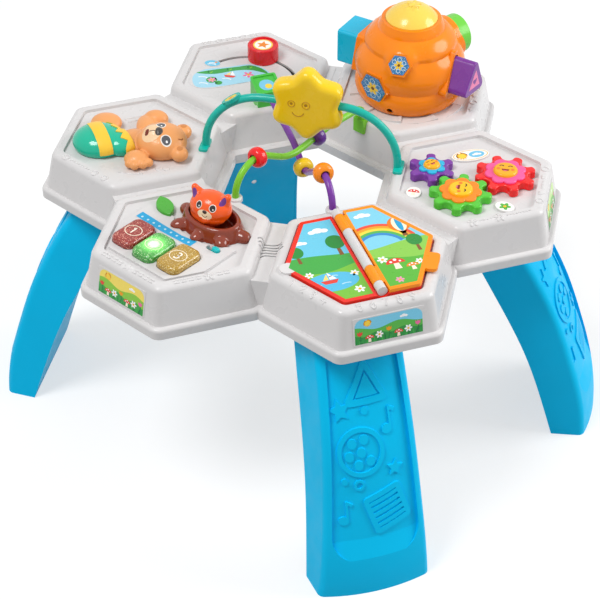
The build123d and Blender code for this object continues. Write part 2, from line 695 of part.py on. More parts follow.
def tree_stump():
    low = Pos(0, 0, PAN_Z) * Ellipse(STUMP_A + 3, STUMP_B + 3)
    high = Pos(0, 0, PAN_Z + STUMP_H) * Ellipse(STUMP_A - 2, STUMP_B - 3)
    body = loft([low.face(), high.face()])
    body = soft(body, body.faces().sort_by(Axis.Z)[-1].edges(), 3.0)
    roots = []
    for a, n in ((-38, 12), (48, 7), (100, 9), (-95, 8), (4, 7)):
        x, y = (STUMP_A + n - 8) * cos(radians(a)), (STUMP_B + n - 8) * sin(radians(a))
        roots.append(Pos(x, y, PAN_Z + 2) * Rot(0, 0, a) * egg(13, 9, 9))
    body = body + (fuse(roots) & box(-90, 90, -90, 90, PAN_Z, 400))
    well = slab(Ellipse(*STUMP_WELL), PAN_Z + STUMP_FLOOR, 400)
    over = PAN_Z + PLATEAU_H + STUMP_GAP
    seat = slab(Ellipse(STUMP_SEAT[0] - STUMP_GAP, STUMP_SEAT[1] - STUMP_GAP), PAN_Z, over)
    body = (body & (seat + box(-90, 90, -90, 90, over, 400))) - well
    room = slab(hexagon(RECESS_APOTHEM - 0.6, RECESS_CORNER), PAN_Z, 400)
    placed = polar(FOX, *STUMP_AT) * body
    return placed & (spot(FOX, 0, 0) * room)


FOX_AT = (-37.0, 11.0)
FOX_Z = PAN_Z + 26.0
FOX_TRAVEL = 6.0
FOX_TURN = 12.0   # face turned a little towards the book
FOX_ROOM = 0.7    # between the pressed head and the stump's well


def ear(x, y, z, lean):
    c = Cone(9.0, 3.6, 13, align=(Align.CENTER, Align.CENTER, Align.MIN)) + Pos(0, 0, 12) * Sphere(4.2)
    return Pos(x, y, z) * Rot(lean[0], lean[1], 0) * c


def fox_head():
    """Head in its own axes: +X is the way the face looks."""
    foot = PAN_Z + STUMP_FLOOR + FOX_TRAVEL + FOX_ROOM
    neck = rod(16.0, foot, FOX_Z)
    head = Pos(0, 0, FOX_Z) * egg(19.5, 25, 19)
    snout = Pos(13, 0, FOX_Z - 6) * egg(9, 11, 7)
    cheeks = Pos(6, 0, FOX_Z - 7) * egg(13, 22, 10)
    body = neck + head + snout + cheeks
    body = body + ear(-2, 15, FOX_Z + 8, (-32, 0)) + ear(-2, -15, FOX_Z + 8, (32, 0))
    placed = polar(FOX, *FOX_AT) * Rot(0, 0, FOX_TURN) * body
    clear = PAN_Z + STUMP_H + FOX_TRAVEL + STUMP_GAP
    inside = slab(Ellipse(STUMP_WELL[0] - FOX_ROOM, STUMP_WELL[1] - FOX_ROOM), foot, clear + 1.0)
    above = box(-90, 90, -90, 90, clear, 500)
    return placed & (polar(FOX, *STUMP_AT) * (inside + above))


def leaf_place():
    return polar(FOX, -24, -49, PAN_Z) * Rot(0, 0, 62)


def leaf_outline(grow):
    half, wide = 19.0 + grow, 9.5 + grow
    far = ThreePointArc((-half, 0), (0, wide), (half, 0))
    near = ThreePointArc((half, 0), (0, -wide), (-half, 0))
    return make_face([far, near])


def leaf():
    body = slab(leaf_outline(0), 0, PLATEAU_H + 3.4)
    body = soft(body, body.faces().sort_by(Axis.Z)[-1].edges(), 1.4)
    return leaf_place() * body


def speaker():
    body = rod(24, 323, 331) + rod(14, 312, 324)
    return Pos(0, -GRILLE_R, 0) * body


# book tray

BOARD_TOP = RIM_Z + 2.5
SPINE_Z = RIM_Z + 5.0
SPINE_R = 5.6
SPINE_ROD = 2.4
KNUCKLES = [(-66.0, -38.0), (32.0, 60.0)]
PAGE_APOTHEM = 75.0
PAGE_Z0, PAGE_Z1 = RIM_Z + 3.0, RIM_Z + 7.0


def along_u(r, u0, u1, z):
    return Pos((u0 + u1) / 2, 0, z) * Rot(0, 90, 0) * Cylinder(r, u1 - u0)


def book_board():
    b = slab(hexagon(PAGE_APOTHEM, 5), PAN_Z, BOARD_TOP)
    b = b - Rot(0, 0, BOOK) * along_u(SPINE_R + 1.0, -100, 100, SPINE_Z)
    tab = spot(BOOK, -71, -41) * rod(9.0, RIM_Z, RIM_Z + 2.5)
    return spot(BOOK, 0, 0) * b + tab


def book_spine():
    bits = [along_u(SPINE_ROD, -76.6, 73, SPINE_Z), along_u(SPINE_R, -37.6, 31.6, SPINE_Z)]
    for u0, u1 in ((-76.6, -66.4), (60.4, 73)):
        bits.append(along_u(SPINE_R, u0, u1, SPINE_Z))
        bits.append(box(u0 + 1, u1 - 1, -3.4, 3.4, BOARD_TOP - 6.2, SPINE_Z))
    bits.append(box(-30, 24, -3.4, 3.4, SPINE_Z - SPINE_R - 1.0, SPINE_Z))
    post = polar(BOOK, 0, 0) * fuse(bits)
    return post - book_board()


def flip_page():
    half = Rot(0, 0, -BOOK) * hexagon(PAGE_APOTHEM, 5)
    half = half & (Pos(0, 50) * Rectangle(300, 100 - 2 * 7.4))
    leafy = slab(half, PAGE_Z0, PAGE_Z1)
    bits = [leafy]
    for u0, u1 in KNUCKLES:
        lug = along_u(SPINE_R, u0, u1, SPINE_Z) + box(u0, u1, 0, 9, PAGE_Z0, PAGE_Z1)
        bits.append(lug)
    body = fuse(bits)
    for u0, u1 in KNUCKLES:
        body = body - along_u(SPINE_ROD + 0.3, u0 - 1, u1 + 1, SPINE_Z)
    tab = Rot(0, 0, -BOOK) * (Pos(79, -2, PAGE_Z0) * fillet(Rectangle(18, 30).vertices(), 5))
    body = body + extrude(tab, PAGE_Z1 - PAGE_Z0)
    return polar(BOOK, 0, 0) * body


# gears tray

def lobed(teeth, rp):
    """Outline of a wheel with broad rounded teeth."""
    pts = []
    n = teeth * TOOTH_STEPS
    for i in range(n):
        th = 2 * pi * i / n
        c = cos(teeth * th) - TOOTH_BIAS
        if c >= 0:
            r = rp - TOOTH_CLEAR + TOOTH_TIP * (c / (1 - TOOTH_BIAS)) ** TOOTH_POWER
        else:
            r = rp - TOOTH_CLEAR - TOOTH_ROOT * (-c / (1 + TOOTH_BIAS)) ** TOOTH_POWER
        pts.append((r * cos(th), r * sin(th)))
    return make_face(Spline(*pts, periodic=True))


def wheel(teeth, at, turn):
    rp = wheel_radius(teeth)
    body = slab(lobed(teeth, rp), WHEEL_Z, WHEEL_Z + WHEEL_H)
    body = soft(body, body.faces().sort_by(Axis.Z)[-1].edges(), 2.0)
    bore = rod(PEG_R + PEG_GAP, WHEEL_Z - 1, WHEEL_Z + WHEEL_H - 2.6)
    cup = rod(rp - 9, WHEEL_Z - 1, WHEEL_Z + WHEEL_H - 3) - rod(PEG_R + 3, WHEEL_Z - 2, WHEEL_Z + WHEEL_H)
    return spot(GEARS, *at) * Rot(0, 0, turn) * (body - bore - cup)


PETAL_H = 2.2
FACE_H = 3.3   # flower's middle above its petals


def petals(count, r, at, turn, height):
    ring = Circle(r * 0.80)
    for i in range(count):
        a = 2 * pi * i / count
        ring = ring + Pos(r * 0.72 * cos(a), r * 0.72 * sin(a)) * Circle(r * 0.36)
    z = WHEEL_Z + WHEEL_H
    cap = slab(ring, z, z + height)
    cap = soft(cap, cap.faces().sort_by(Axis.Z)[-1].edges(), 1.2)
    face = rod(r * 0.62, z + height - 0.5, z + height + FACE_H)
    face = soft(face, face.faces().sort_by(Axis.Z)[-1].edges(), FACE_H - 0.5)
    return spot(GEARS, *at) * Rot(0, 0, turn) * (cap + face)


def mesh_turn(teeth, follow_teeth, follow_turn, direction):
    """Turn that drops a tooth of one wheel into a gap of the wheel it meets."""
    a = degrees(direction)
    gap_phase = (a - follow_turn) * follow_teeth
    return a + 180.0 + (180.0 + gap_phase) / teeth


GREEN_TURN = 0.0
RED_TURN = mesh_turn(8, 8, GREEN_TURN, GREEN_TO_RED)
PURPLE_TURN = mesh_turn(6, 8, GREEN_TURN, GREEN_TO_PURPLE)


def garden_plaques():
    out = []
    for x, y, a, b, turn in ((-6.5, 47, 23.5, 12, 27), (-60.5, -40.5, 9, 11, 0), (45, -47.5, 12, 9.5, -20)):
        p = slab(Ellipse(a, b), PAN_Z, PAN_Z + 2.0)
        p = soft(p, p.faces().sort_by(Axis.Z)[-1].edges(), 0.6)
        out.append(spot(GEARS, x, y) * Rot(0, 0, turn) * p)
    return out


# hive tray

# the three bulges of the hive, each from a groove through its crest to the next groove, then the collar
HIVE_BULGES = [((60.0, HIVE_FOOT_Z), (66.5, 359.0), (63.5, 373.0)),
               ((63.5, 373.0), (67.0, 394.0), (61.5, 414.0)),
               ((61.5, 414.0), (55.5, 428.0), (43.5, 435.5))]
BULGE_STEPS = 6
HIVE_COLLAR = [(43.5, 435.5), (41.5, 439.0), (38.5, 443.0), (36.0, 446.5)]
HIVE_HOLE = (258.0, 351.0, 4.0)     # azimuth, height and radius of the small hole near the foot
HIVE_TOP = 446.5
DECK_Z = 439.0
BUTTON_R = 31.5
BUTTON_GAP = 0.4
BUTTON_TRAVEL = 3.0
BLOCKS = {"blue": (160.0, 390.0, 90.0), "green": (50.0, 397.0, 79.0), "purple": (-21.0, 386.0, 90.0)}
BLOCK_IN = 47.0
BLOCK_SQUARE = 45.0
BLOCK_ROUND = 24.5
BLOCK_TRI = 31.0


def hive_round(shrink):
    pts = []
    for a, b, c in HIVE_BULGES:
        bulge = ThreePointArc(a, b, c)
        pts.extend((bulge @ (k / BULGE_STEPS)) for k in range(BULGE_STEPS))
    side = [(p.X - shrink, p.Y) for p in pts] + [(r - shrink, z) for r, z in HIVE_COLLAR]
    face = make_face([Polyline(*side), Line(side[-1], (0, side[-1][1])),
                      Line((0, side[-1][1]), (0, side[0][1])), Line((0, side[0][1]), side[0])])
    return revolve(Plane.XZ * face, Axis.Z)


def block_outline(name, grow):
    if name == "blue":
        return fillet(Rectangle(BLOCK_SQUARE + 2 * grow, BLOCK_SQUARE + 2 * grow).vertices(), 4)
    if name == "green":
        return Circle(BLOCK_ROUND + grow)
    tri = RegularPolygon(BLOCK_TRI + 2 * grow, 3, rotation=84)
    return fillet(tri.vertices(), 6)


def radial_prism(name, grow, r0, r1):
    az, z, _ = BLOCKS[name]
    s = Plane.YZ * block_outline(name, grow)
    return Rot(0, 0, az) * Pos(r0, 0, z) * extrude(s, r1 - r0)


def hive_shell():
    out = hive_round(0)
    inner = hive_round(HIVE_SKIN) & box(-90, 90, -90, 90, HIVE_FOOT_Z - 1, DECK_Z - 3)
    body = out - inner - rod(57, HIVE_FOOT_Z - 2, HIVE_FOOT_Z + 4)
    body = body - rod(BUTTON_R + BUTTON_GAP, DECK_Z, HIVE_TOP + 5)
    sleeve = rod(SPINDLE_R + 3, HIVE_FOOT_Z + 4, DECK_Z - 1) - rod(SPINDLE_R + 0.3, HIVE_FOOT_Z, DECK_Z - 3)
    body = body + sleeve
    for name in BLOCKS:
        pocket = radial_prism(name, BLOCK_GAP + 2.0, BLOCK_IN - 2.5, 68)
        body = body + (pocket & out)
        collar = radial_prism(name, BLOCK_GAP + 3.0, 50, COLLAR_R) - (inner + rod(48, 340, 440))
        body = body + collar
    for name in BLOCKS:
        body = body - radial_prism(name, BLOCK_GAP, BLOCK_IN - 0.3, 110)
    az, z, r = HIVE_HOLE
    body = body - Rot(0, 0, az) * Pos(50, 0, z) * along_x(rod(r, 0, 40))
    for az, z, tilt, size in HIVE_PLAQUES:
        seat = plaque_place(az, z, tilt) * slab(hexagon(size + 2.5), -14, 0)
        body = body + (seat - (inner + rod(48, 340, 440)))
        body = body - plaque_place(az, z, tilt) * slab(hexagon(size + PLAQUE_GAP), 0, 20)
    return spot(HIVE, 0, 0) * body


PLAQUE_GAP = 0.2
HIVE_PLAQUES = [(238.0, 377.0, 6.0, 16.5), (266.0, 416.0, -26.0, 11.0), (104.0, 388.0, 0.0, 13.0)]


def plaque_place(az, z, tilt):
    """Seat of a plaque: its flat faces outwards along the azimuth, tipped up or down."""
    r = 66.5 if tilt > -10 else 62.5
    return Rot(0, 0, az) * Pos(r, 0, z) * Rot(0, 90 + tilt, 0)


def hive_plaques():
    out = []
    for az, z, tilt, size in HIVE_PLAQUES:
        out.append(spot(HIVE, 0, 0) * plaque_place(az, z, tilt) * slab(hexagon(size), 0, 1.0))
    return out


def hive_spindle():
    body = rod(SPINDLE_R, PAN_Z, DECK_Z - 8) + rod(22, PAN_Z, PAN_Z + 1.2)
    return spot(HIVE, 0, 0) * body


def hive_button():
    dome_r = 38.0
    z0 = DECK_Z + BUTTON_TRAVEL + 0.6
    skirt = rod(BUTTON_R, z0, HIVE_TOP + 1.0)
    ball = Pos(0, 0, HIVE_TOP + 17.5 - dome_r) * Sphere(dome_r)
    dome = ball & rod(BUTTON_R, HIVE_TOP + 0.5, HIVE_TOP + 40)
    bloom = star_sketch(5, 11, 5.5)
    mark = Pos(2, 0, 0) * slab(fillet(bloom.vertices(), 1.6), HIVE_TOP + 14, HIVE_TOP + 18.6)
    return spot(HIVE, 0, 0) * (skirt + dome + mark)


def vector_to(tip, az, edge):
    """Distance of an edge's middle from a block's end face, along the block."""
    d = edge.center() - tip.position
    return d.X * cos(radians(az)) + d.Y * sin(radians(az))


def block(name):
    az, z, r1 = BLOCKS[name]
    body = radial_prism(name, 0, BLOCK_IN, r1)
    tip = Rot(0, 0, az) * Pos(r1, 0, z)
    ends = [e for e in body.edges() if abs(vector_to(tip, az, e)) < 0.3]
    body = soft(body, ends, 1.5)
    return spot(HIVE, 0, 0) * body


# pond tray

DRUM_R, DRUM_H = 19.5, 21.0
DRUM_TURN = 83.0


def slider_drum():
    a = radians(DRUM_TURN)
    x, y = POND_ARC[0] + POND_ARC_R * cos(a), POND_ARC[1] + POND_ARC_R * sin(a)
    drum = rod(DRUM_R, PAN_Z + 0.9, PAN_Z + DRUM_H)
    drum = soft(drum, drum.faces().sort_by(Axis.Z)[-1].edges(), 1.6)
    drum = drum - rod(DRUM_R - 3.4, PAN_Z + DRUM_H - 1.2, PAN_Z + DRUM_H + 2)
    stem = rod(2.1, PAN_Z - 5, PAN_Z + 2) + rod(7.0, PAN_Z - 6.2, PAN_Z - 3.6)
    return spot(POND, x, y) * (drum + stem)


def pond_print():
    pts = [(-64, -42), (-50, -45), (-22, -33.5), (9, -16), (29, -5), (19, 14), (-4, 23), (-32, 10), (-60, -1.5), (-71, -20)]
    pool = make_face(Spline(*pts, periodic=True))
    dot = Pos(-52.5, 14.5) * Ellipse(10.5, 7.5)
    return [spot(POND, 0, 0, PAN_Z) * extrude(pool, 0.5), spot(POND, 0, 0, PAN_Z) * extrude(dot, 0.5)]


BOX_R0, BOX_R1 = 116.0, 150.0
BOX_W = 32.0
BOX_Z = 371.0


def picture_box():
    side = Polyline((BOX_R0, RIM_Z), (124.5, RIM_Z), (124.5, PAN_Z), (BOX_R1, PAN_Z), (BOX_R1, BOX_Z),
                    (BOX_R0 + 2, BOX_Z - 7), close=True)
    b = extrude(Plane.XZ * make_face(side), BOX_W / 2, both=True)
    b = soft(b, b.edges().filter_by(Axis.Z), 3.0)
    well = extrude(Plane.XZ * make_face(Polyline((122, BOX_Z - 6.6), (147, BOX_Z - 2.2), (147, BOX_Z + 9),
                                                 (122, BOX_Z + 9), close=True)), BOX_W / 2 - 3, both=True)
    b = b - well
    b = Rot(0, 0, POND) * b
    return b - purple_wire_solid(WIRE_R + 0.1)


# wires in the middle

def upright(angle):
    """Plane through the Z axis: x along a radius, y up."""
    a = radians(angle)
    return Plane(origin=(0, 0, 0), x_dir=(cos(a), sin(a), 0), z_dir=(sin(a), -cos(a), 0))


def walk(start, heading, steps):
    """A chain of lines and arcs. A step is (length, 0) or (radius, turn), left turns positive."""
    x, y = start
    h = heading
    edges = []
    for size, turn in steps:
        d = radians(h)
        if turn == 0:
            end = (x + size * cos(d), y + size * sin(d))
            edges.append(Line((x, y), end))
        else:
            s = 1 if turn > 0 else -1
            cx, cy = x - s * size * sin(d), y + s * size * cos(d)
            pts = []
            for k in (0.5, 1.0):
                e = d + radians(turn * k)
                pts.append((cx + s * size * sin(e), cy - s * size * cos(e)))
            edges.append(ThreePointArc((x, y), pts[0], pts[1]))
            end = pts[1]
            h += turn
        x, y = end
    return edges


def tube(angle, start, heading, steps, r):
    p = upright(angle)
    path = Wire(walk(start, heading, steps))
    d = radians(heading)
    at = Plane(origin=(start[0], start[1], 0), z_dir=(cos(d), sin(d), 0))
    return p * sweep(at * Circle(r), path=path)


ARCH_STEPS = [(ARCH_TOP - ARCH_BEND - RIM_Z, 0), (ARCH_BEND, -90), (2 * ARCH_FLAT, 0), (ARCH_BEND, -90),
              (ARCH_TOP - ARCH_BEND - RIM_Z, 0)]
GREEN_STEPS = [(5.0, 0), (34.0, -120), (28.0, 0), (60.0, 38), (40.0, 0), (60.0, -10), (48.5, 0), (12.0, -88),
               (3.0, 0)]
PURPLE_STEPS = [(3.0, 0), (28.0, -125), (50.0, 0), (30.0, 60), (12.0, 0), (60.0, -20), (85.5, 0)]
GREEN_START = (-WIRE_FOOT, RIM_Z - 1.0)
PURPLE_START = (-WIRE_FOOT, RIM_Z - 1.0)


def teal_arch():
    bits = [tube(GEARS, (-ARCH_FOOT, RIM_Z), 90, ARCH_STEPS, ARCH_R)]
    for s in (-1, 1):
        foot = slab(fillet(Rectangle(11, 26).vertices(), 3), RIM_Z, RIM_Z + 3.4)
        foot = soft(foot, foot.faces().sort_by(Axis.Z)[-1].edges(), 1.0)
        bits.append(Pos(s * (ARCH_FOOT + 1.5), 0, 0) * foot)
    tag = Pos(-82, 0, 416) * Rot(0, -35, 0) * slab(Ellipse(13, 7), -3, 1.5)
    bits.append(tag)
    return fuse(bits)


def green_wire():
    t = tube(HIVE, GREEN_START, 90, GREEN_STEPS, WIRE_R)
    tab = slab(fillet((Pos(112, 0) * Rectangle(13, 17)).vertices(), 4), RIM_Z, RIM_Z + 4)
    drop = box(98, 113, -8, 8, RIM_Z - 17, RIM_Z + 2) - Pos(RING_R, 0, 0) * TRAY_OUT
    drop = drop & box(104.2, 130, -8, 8, 0, 400)
    return t + Rot(0, 0, HIVE) * (tab + drop)


def purple_wire_solid(r):
    return tube(POND, PURPLE_START, 90, PURPLE_STEPS, r)


def purple_wire():
    return purple_wire_solid(WIRE_R)


def bead(angle, x, z, heading, bore=BEAD_BORE):
    b = Cylinder(BEAD_R, BEAD_T)
    b = soft(b, b.edges().filter_by(GeomType.CIRCLE), 6.4) - Cylinder(bore, BEAD_T + 2)
    turned = Rot(0, 0, angle) * Pos(x, 0, z) * Rot(0, 90 - heading, 0) * b
    return turned


def walk_pose(start, heading, steps, index, along):
    """Place and heading part of the way through a step of a walk."""
    x, y = start
    h = heading
    for i, (size, turn) in enumerate(steps):
        k = along if i == index else 1.0
        d = radians(h)
        if turn == 0:
            x, y = x + k * size * cos(d), y + k * size * sin(d)
        else:
            s = 1 if turn > 0 else -1
            cx, cy = x - s * size * sin(d), y + s * size * cos(d)
            h += turn * k
            e = radians(h)
            x, y = cx + s * size * sin(e), cy - s * size * cos(e)
        if i == index:
            return x, y, h
    return x, y, h


BEAD_RED = walk_pose(GREEN_START, 90, GREEN_STEPS, 1, 0.80)
BEAD_PURPLE = walk_pose(GREEN_START, 90, GREEN_STEPS, 4, 0.66)
BEAD_ORANGE = walk_pose(PURPLE_START, 90, PURPLE_STEPS, 1, 0.80)
BEAD_YELLOW = walk_pose(PURPLE_START, 90, PURPLE_STEPS, 3, 0.62)

STAR_X = 8.0
STAR_R, STAR_IN = 50.5, 36.0
STAR_TIP_R, STAR_DIP_R = 12.0, 10.0
STAR_T = 24.0


def star():
    s = star_sketch(6, STAR_R, STAR_IN)
    tips = [v for v in s.vertices() if sqrt(v.X ** 2 + v.Y ** 2) > STAR_R - 1]
    s = fillet(tips, STAR_TIP_R)
    dips = [v for v in s.vertices() if sqrt(v.X ** 2 + v.Y ** 2) < STAR_IN + 0.5]
    s = fillet(dips, STAR_DIP_R)
    body = extrude(s, STAR_T / 2, both=True)
    rims = [e for e in body.edges() if abs(abs(e.center().Z) - STAR_T / 2) < 0.1]
    body = soft(body, rims, 8.5)
    body = Rot(90, 0, 0) * body
    body = body - Rot(0, 90, 0) * Cylinder(ARCH_R + 0.3, 200)
    return Pos(STAR_X, 0, ARCH_TOP) * body


# labels on the outer walls

def wall_label(tray, normal, half):
    grown = tray_block(WALL_FOOT + 0.5, WALL_HEAD + 0.5, RIM_Z, CORNER_R, 0)
    skin = grown - tray_block(WALL_FOOT, WALL_HEAD, RIM_Z, CORNER_R, 0)
    window = Rot(0, 0, normal) * box(60, 110, -half, half, SKIRT_Z + SKIRT_H + 3, RIM_Z - 10)
    return spot(tray, 0, 0) * (skin & window)


def wall_labels():
    return [wall_label(FOX, 240, 36), wall_label(BOOK, 300, 40), wall_label(GEARS, 0, 32)]


def strip_label():
    pts = [(-6, -60), (6, -60), (8, -20), (7, 26), (-6, 26), (-3, 5), (-4, -25)]
    s = fillet(make_face(Polyline(*pts, close=True)).vertices(), 2.0)
    return polar(FOX, 4.5, -2, PAN_Z + PLATEAU_H) * extrude(s, 0.3)


def save(name, shape):
    if isinstance(shape, list):
        shape = Compound(children=[s if isinstance(s, Solid) else s.solids()[0] for s in shape])
    export_step(shape, "parts/" + name + ".step")


def main():
    save("shell_gears_hive", shell_gears_hive())
    save("shell_pond_bear", shell_pond_bear())
    save("shell_fox_book", shell_fox_book())
    save("base_gears_hive", base_cover(GEARS))
    save("base_pond_bear", base_cover(POND))
    save("base_fox_book", base_cover(FOX))
    save("base_screws", base_screws())
    bodies = {1: leg_body(1), -1: leg_body(-1)}
    covers = {1: leg_cover(1), -1: leg_cover(-1)}
    for name, (angle, side) in LEGS.items():
        save("leg_" + name, Rot(0, 0, angle) * bodies[side])
        save("leg_cover_" + name, Rot(0, 0, angle) * covers[side])
    save("leg_screws", leg_screws())
    save("battery_door", battery_door())
    save("batteries", batteries())
    save("circuit_board", circuit_board())
    save("key_pads", key_pads())
    save("speaker", speaker())
    save("bear_figure", bear_figure())
    save("bear_tummy", bear_tummy())
    save("bear_trim", bear_trim())
    for name in KEYS:
        save("key_" + name, key(name))
    save("mode_switch", mode_switch())
    save("tree_stump", tree_stump())
    save("fox_head", fox_head())
    save("leaf", leaf())
    save("labels", wall_labels() + [strip_label()] + pond_print())
    save("book_board", book_board())
    save("book_spine", book_spine())
    save("flip_page", flip_page())
    save("wheel_green", wheel(8, WHEEL_GREEN, GREEN_TURN))
    save("wheel_red", wheel(8, WHEEL_RED, RED_TURN))
    save("wheel_purple", wheel(6, WHEEL_PURPLE, PURPLE_TURN))
    save("petals_green", petals(8, 22.6, WHEEL_GREEN, GREEN_TURN, PETAL_H))
    save("petals_red", petals(8, 22.6, WHEEL_RED, RED_TURN, PETAL_H))
    save("petals_purple", petals(6, 15.2, WHEEL_PURPLE, PURPLE_TURN, PETAL_H))
    save("garden_plaques", garden_plaques())
    save("hive_shell", hive_shell())
    save("hive_button", hive_button())
    save("hive_plaques", hive_plaques())
    save("hive_spindle", hive_spindle())
    for name in BLOCKS:
        save("block_" + name, block(name))
    save("slider_drum", slider_drum())
    save("picture_box", picture_box())
    save("teal_arch", teal_arch())
    save("star", star())
    save("green_wire", green_wire())
    save("purple_wire", purple_wire())
    save("bead_red", bead(HIVE, *BEAD_RED))
    save("bead_purple", bead(HIVE, *BEAD_PURPLE, bore=BEAD_BORE_STRAIGHT))
    save("bead_orange", bead(POND, *BEAD_ORANGE))
    save("bead_yellow", bead(POND, *BEAD_YELLOW))


main()
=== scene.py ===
"""Looks of a toddlers' activity table: a ring of six play trays on four bowed legs."""

import json
import math

import bmesh
import bpy
from mathutils import Matrix, Vector
from mathutils.bvhtree import BVHTree

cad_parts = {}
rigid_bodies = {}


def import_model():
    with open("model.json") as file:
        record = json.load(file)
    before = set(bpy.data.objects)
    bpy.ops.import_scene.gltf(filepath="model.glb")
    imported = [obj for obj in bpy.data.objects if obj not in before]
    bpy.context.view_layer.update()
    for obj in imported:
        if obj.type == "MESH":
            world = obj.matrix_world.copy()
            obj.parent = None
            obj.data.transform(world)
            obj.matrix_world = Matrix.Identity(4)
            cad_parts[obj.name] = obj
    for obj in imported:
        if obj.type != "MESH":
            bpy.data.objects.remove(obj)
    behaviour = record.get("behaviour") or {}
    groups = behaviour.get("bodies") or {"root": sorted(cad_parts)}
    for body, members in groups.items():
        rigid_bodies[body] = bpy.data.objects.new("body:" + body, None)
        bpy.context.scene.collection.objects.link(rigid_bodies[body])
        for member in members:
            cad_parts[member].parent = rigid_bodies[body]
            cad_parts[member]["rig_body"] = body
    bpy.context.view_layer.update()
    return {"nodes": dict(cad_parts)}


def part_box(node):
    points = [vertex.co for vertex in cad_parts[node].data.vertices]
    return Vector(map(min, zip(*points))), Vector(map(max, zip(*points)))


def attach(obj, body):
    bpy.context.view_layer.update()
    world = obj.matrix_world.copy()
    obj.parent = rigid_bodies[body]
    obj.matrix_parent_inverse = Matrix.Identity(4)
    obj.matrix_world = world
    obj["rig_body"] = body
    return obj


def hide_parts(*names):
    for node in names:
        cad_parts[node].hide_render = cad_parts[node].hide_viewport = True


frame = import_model()
NODES = frame["nodes"]

# driving sizes of the table, in mm
MM = 0.001
RING_R = 200.0            # ring centre to tray centre
RIM_Z = 346.0             # top of the tray rims
PAN_Z = 342.0             # floor of the play trays
WALL_SLOPE = 11.0 / 58.0  # lean of a tray's outer wall
WALL_MID = 94.48          # tray centre to the middle of a wall label's face
RIM_MID = 82.5            # tray centre to the middle of its rim
WALL_MID_Z = 320.0
BOARD_Z = 348.5           # upper face of the book's fixed page
PAGE_LOW_Z, PAGE_TOP_Z = 349.0, 353.0
ARCH_Z = 422.0
GEARS, HIVE, POND, BEAR, FOX, BOOK = range(0, 360, 60)

KEY_ABOVE_Z = 354.0       # planes from which prints are dropped on the keys, wheels, bear and button
WHEEL_ABOVE_Z = 358.0
BEAR_ABOVE_Z = 380.0
BUTTON_ABOVE_Z = 470.0
POND_TOP_Z = PAN_Z + 0.55     # upper faces of the flat printed pieces
PLAQUE_TOP_Z = PAN_Z + 2.04
STRIP_TOP_Z = PAN_Z + 3.85

# plaques on the hive: azimuth, radius, height, tilt, half width. Blocks: azimuth, radius of the end, height
HIVE_PLAQUES = [(238.0, 66.5, 377.0, 6.0, 16.5),
                (266.0, 62.5, 416.0, -26.0, 11.0),
                (104.0, 66.5, 388.0, 0.0, 13.0)]
PLAQUE_LIFT = 1.06
BLOCKS = {"blue": (160.0, 90.0, 390.0), "green": (50.0, 79.0, 397.0), "purple": (-21.0, 90.0, 386.0)}
BLOCK_LIFT = 0.05
BLOCK_TURN = -6.0         # the purple block's point against upright

HAIR = 0.025              # step between two layers of print
WELD = 1e-6               # metres, within which a solid's loose corners are one
EMBOSS = 0.9              # raised marks on the white mouldings
MARK_LIFT = 0.02          # foot of a raised mark above what it lies on
MARK_PITCH, DIGIT_PITCH = 16.0, 15.0

# inks that many prints share
SNOW, GOLD, PAPER = "#ffffff", "#f6b91e", "#fdfbf6"
POPPY, SUNNY, WOOD, TREE_GREEN = "#e6442f", "#ffd94a", "#8a5a33", "#2f9140"
GREENS = ["#1e8f44", "#3aab4b", "#14753a"]


# places

def polar(r, turn):
    return r * math.cos(math.radians(turn)), r * math.sin(math.radians(turn))


def turned(angle, axis="Z"):
    return Matrix.Rotation(math.radians(angle), 4, axis)


def moved(x, y, z):
    return Matrix.Translation((x * MM, y * MM, z * MM))


def at(tray, x, y, z, turn=0.0):
    """A place from a tray's centre in the table's own axes."""
    mid_x, mid_y = polar(RING_R, tray)
    return moved(mid_x + x, mid_y + y, z) @ turned(turn)


def out(tray, u, v, z, turn=0.0):
    """A place in a tray's own axes: u outwards from the ring centre, v along the ring."""
    return turned(tray) @ moved(RING_R + u, v, z) @ turned(turn)


def on_wall(tray, normal):
    """The middle of a tray's outer wall: x along the wall, y up its slope."""
    outward = Vector((*polar(1.0, normal), 0))
    across = Vector((-outward.y, outward.x, 0))
    up = (Vector((0, 0, 1)) - outward * WALL_SLOPE).normalized()
    face = across.cross(up)
    centre = at(tray, 0, 0, WALL_MID_Z).translation + outward * WALL_MID * MM
    return Matrix.Translation(centre) @ Matrix((across, up, face)).transposed().to_4x4()


def on_hive(azimuth, r, z, tilt=0.0):
    """A place on the hive, facing outwards: x along its girth, y up."""
    return at(HIVE, 0, 0, 0) @ turned(azimuth) @ moved(r, 0, z) @ turned(90 + tilt, "Y") @ turned(90)


def top_of(node):
    """The middle of a node's upper face."""
    low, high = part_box(node)
    return Vector(((low.x + high.x) / 2, (low.y + high.y) / 2, high.z))


# colours and finishes

def paint(text):
    """Linear colour of a #rrggbb text."""
    rgb = [int(text[i:i + 2], 16) / 255 for i in (1, 3, 5)]
    linear = [c / 12.92 if c <= 0.04045 else ((c + 0.055) / 1.055) ** 2.4 for c in rgb]
    return (*linear, 1.0)


def shade(colour, factor):
    return (*[min(1.0, c * factor) for c in colour[:3]], 1.0)


def give(node, inputs):
    """Sets a node's inputs, each to a value or to another node's output."""
    for key, value in inputs.items():
        if isinstance(value, bpy.types.NodeSocket):
            node.id_data.links.new(value, node.inputs[key])
        else:
            node.inputs[key].default_value = value


def add(tree, kind, inputs=None, **settings):
    node = tree.nodes.new(kind if "Node" in kind else "ShaderNode" + kind)
    for key, value in settings.items():
        setattr(node, key, value)
    give(node, inputs or {})
    return node


def reckon(tree, operation, a, b):
    """One sum in a node tree."""
    return add(tree, "Math", {0: a, 1: b}, operation=operation).outputs["Value"]


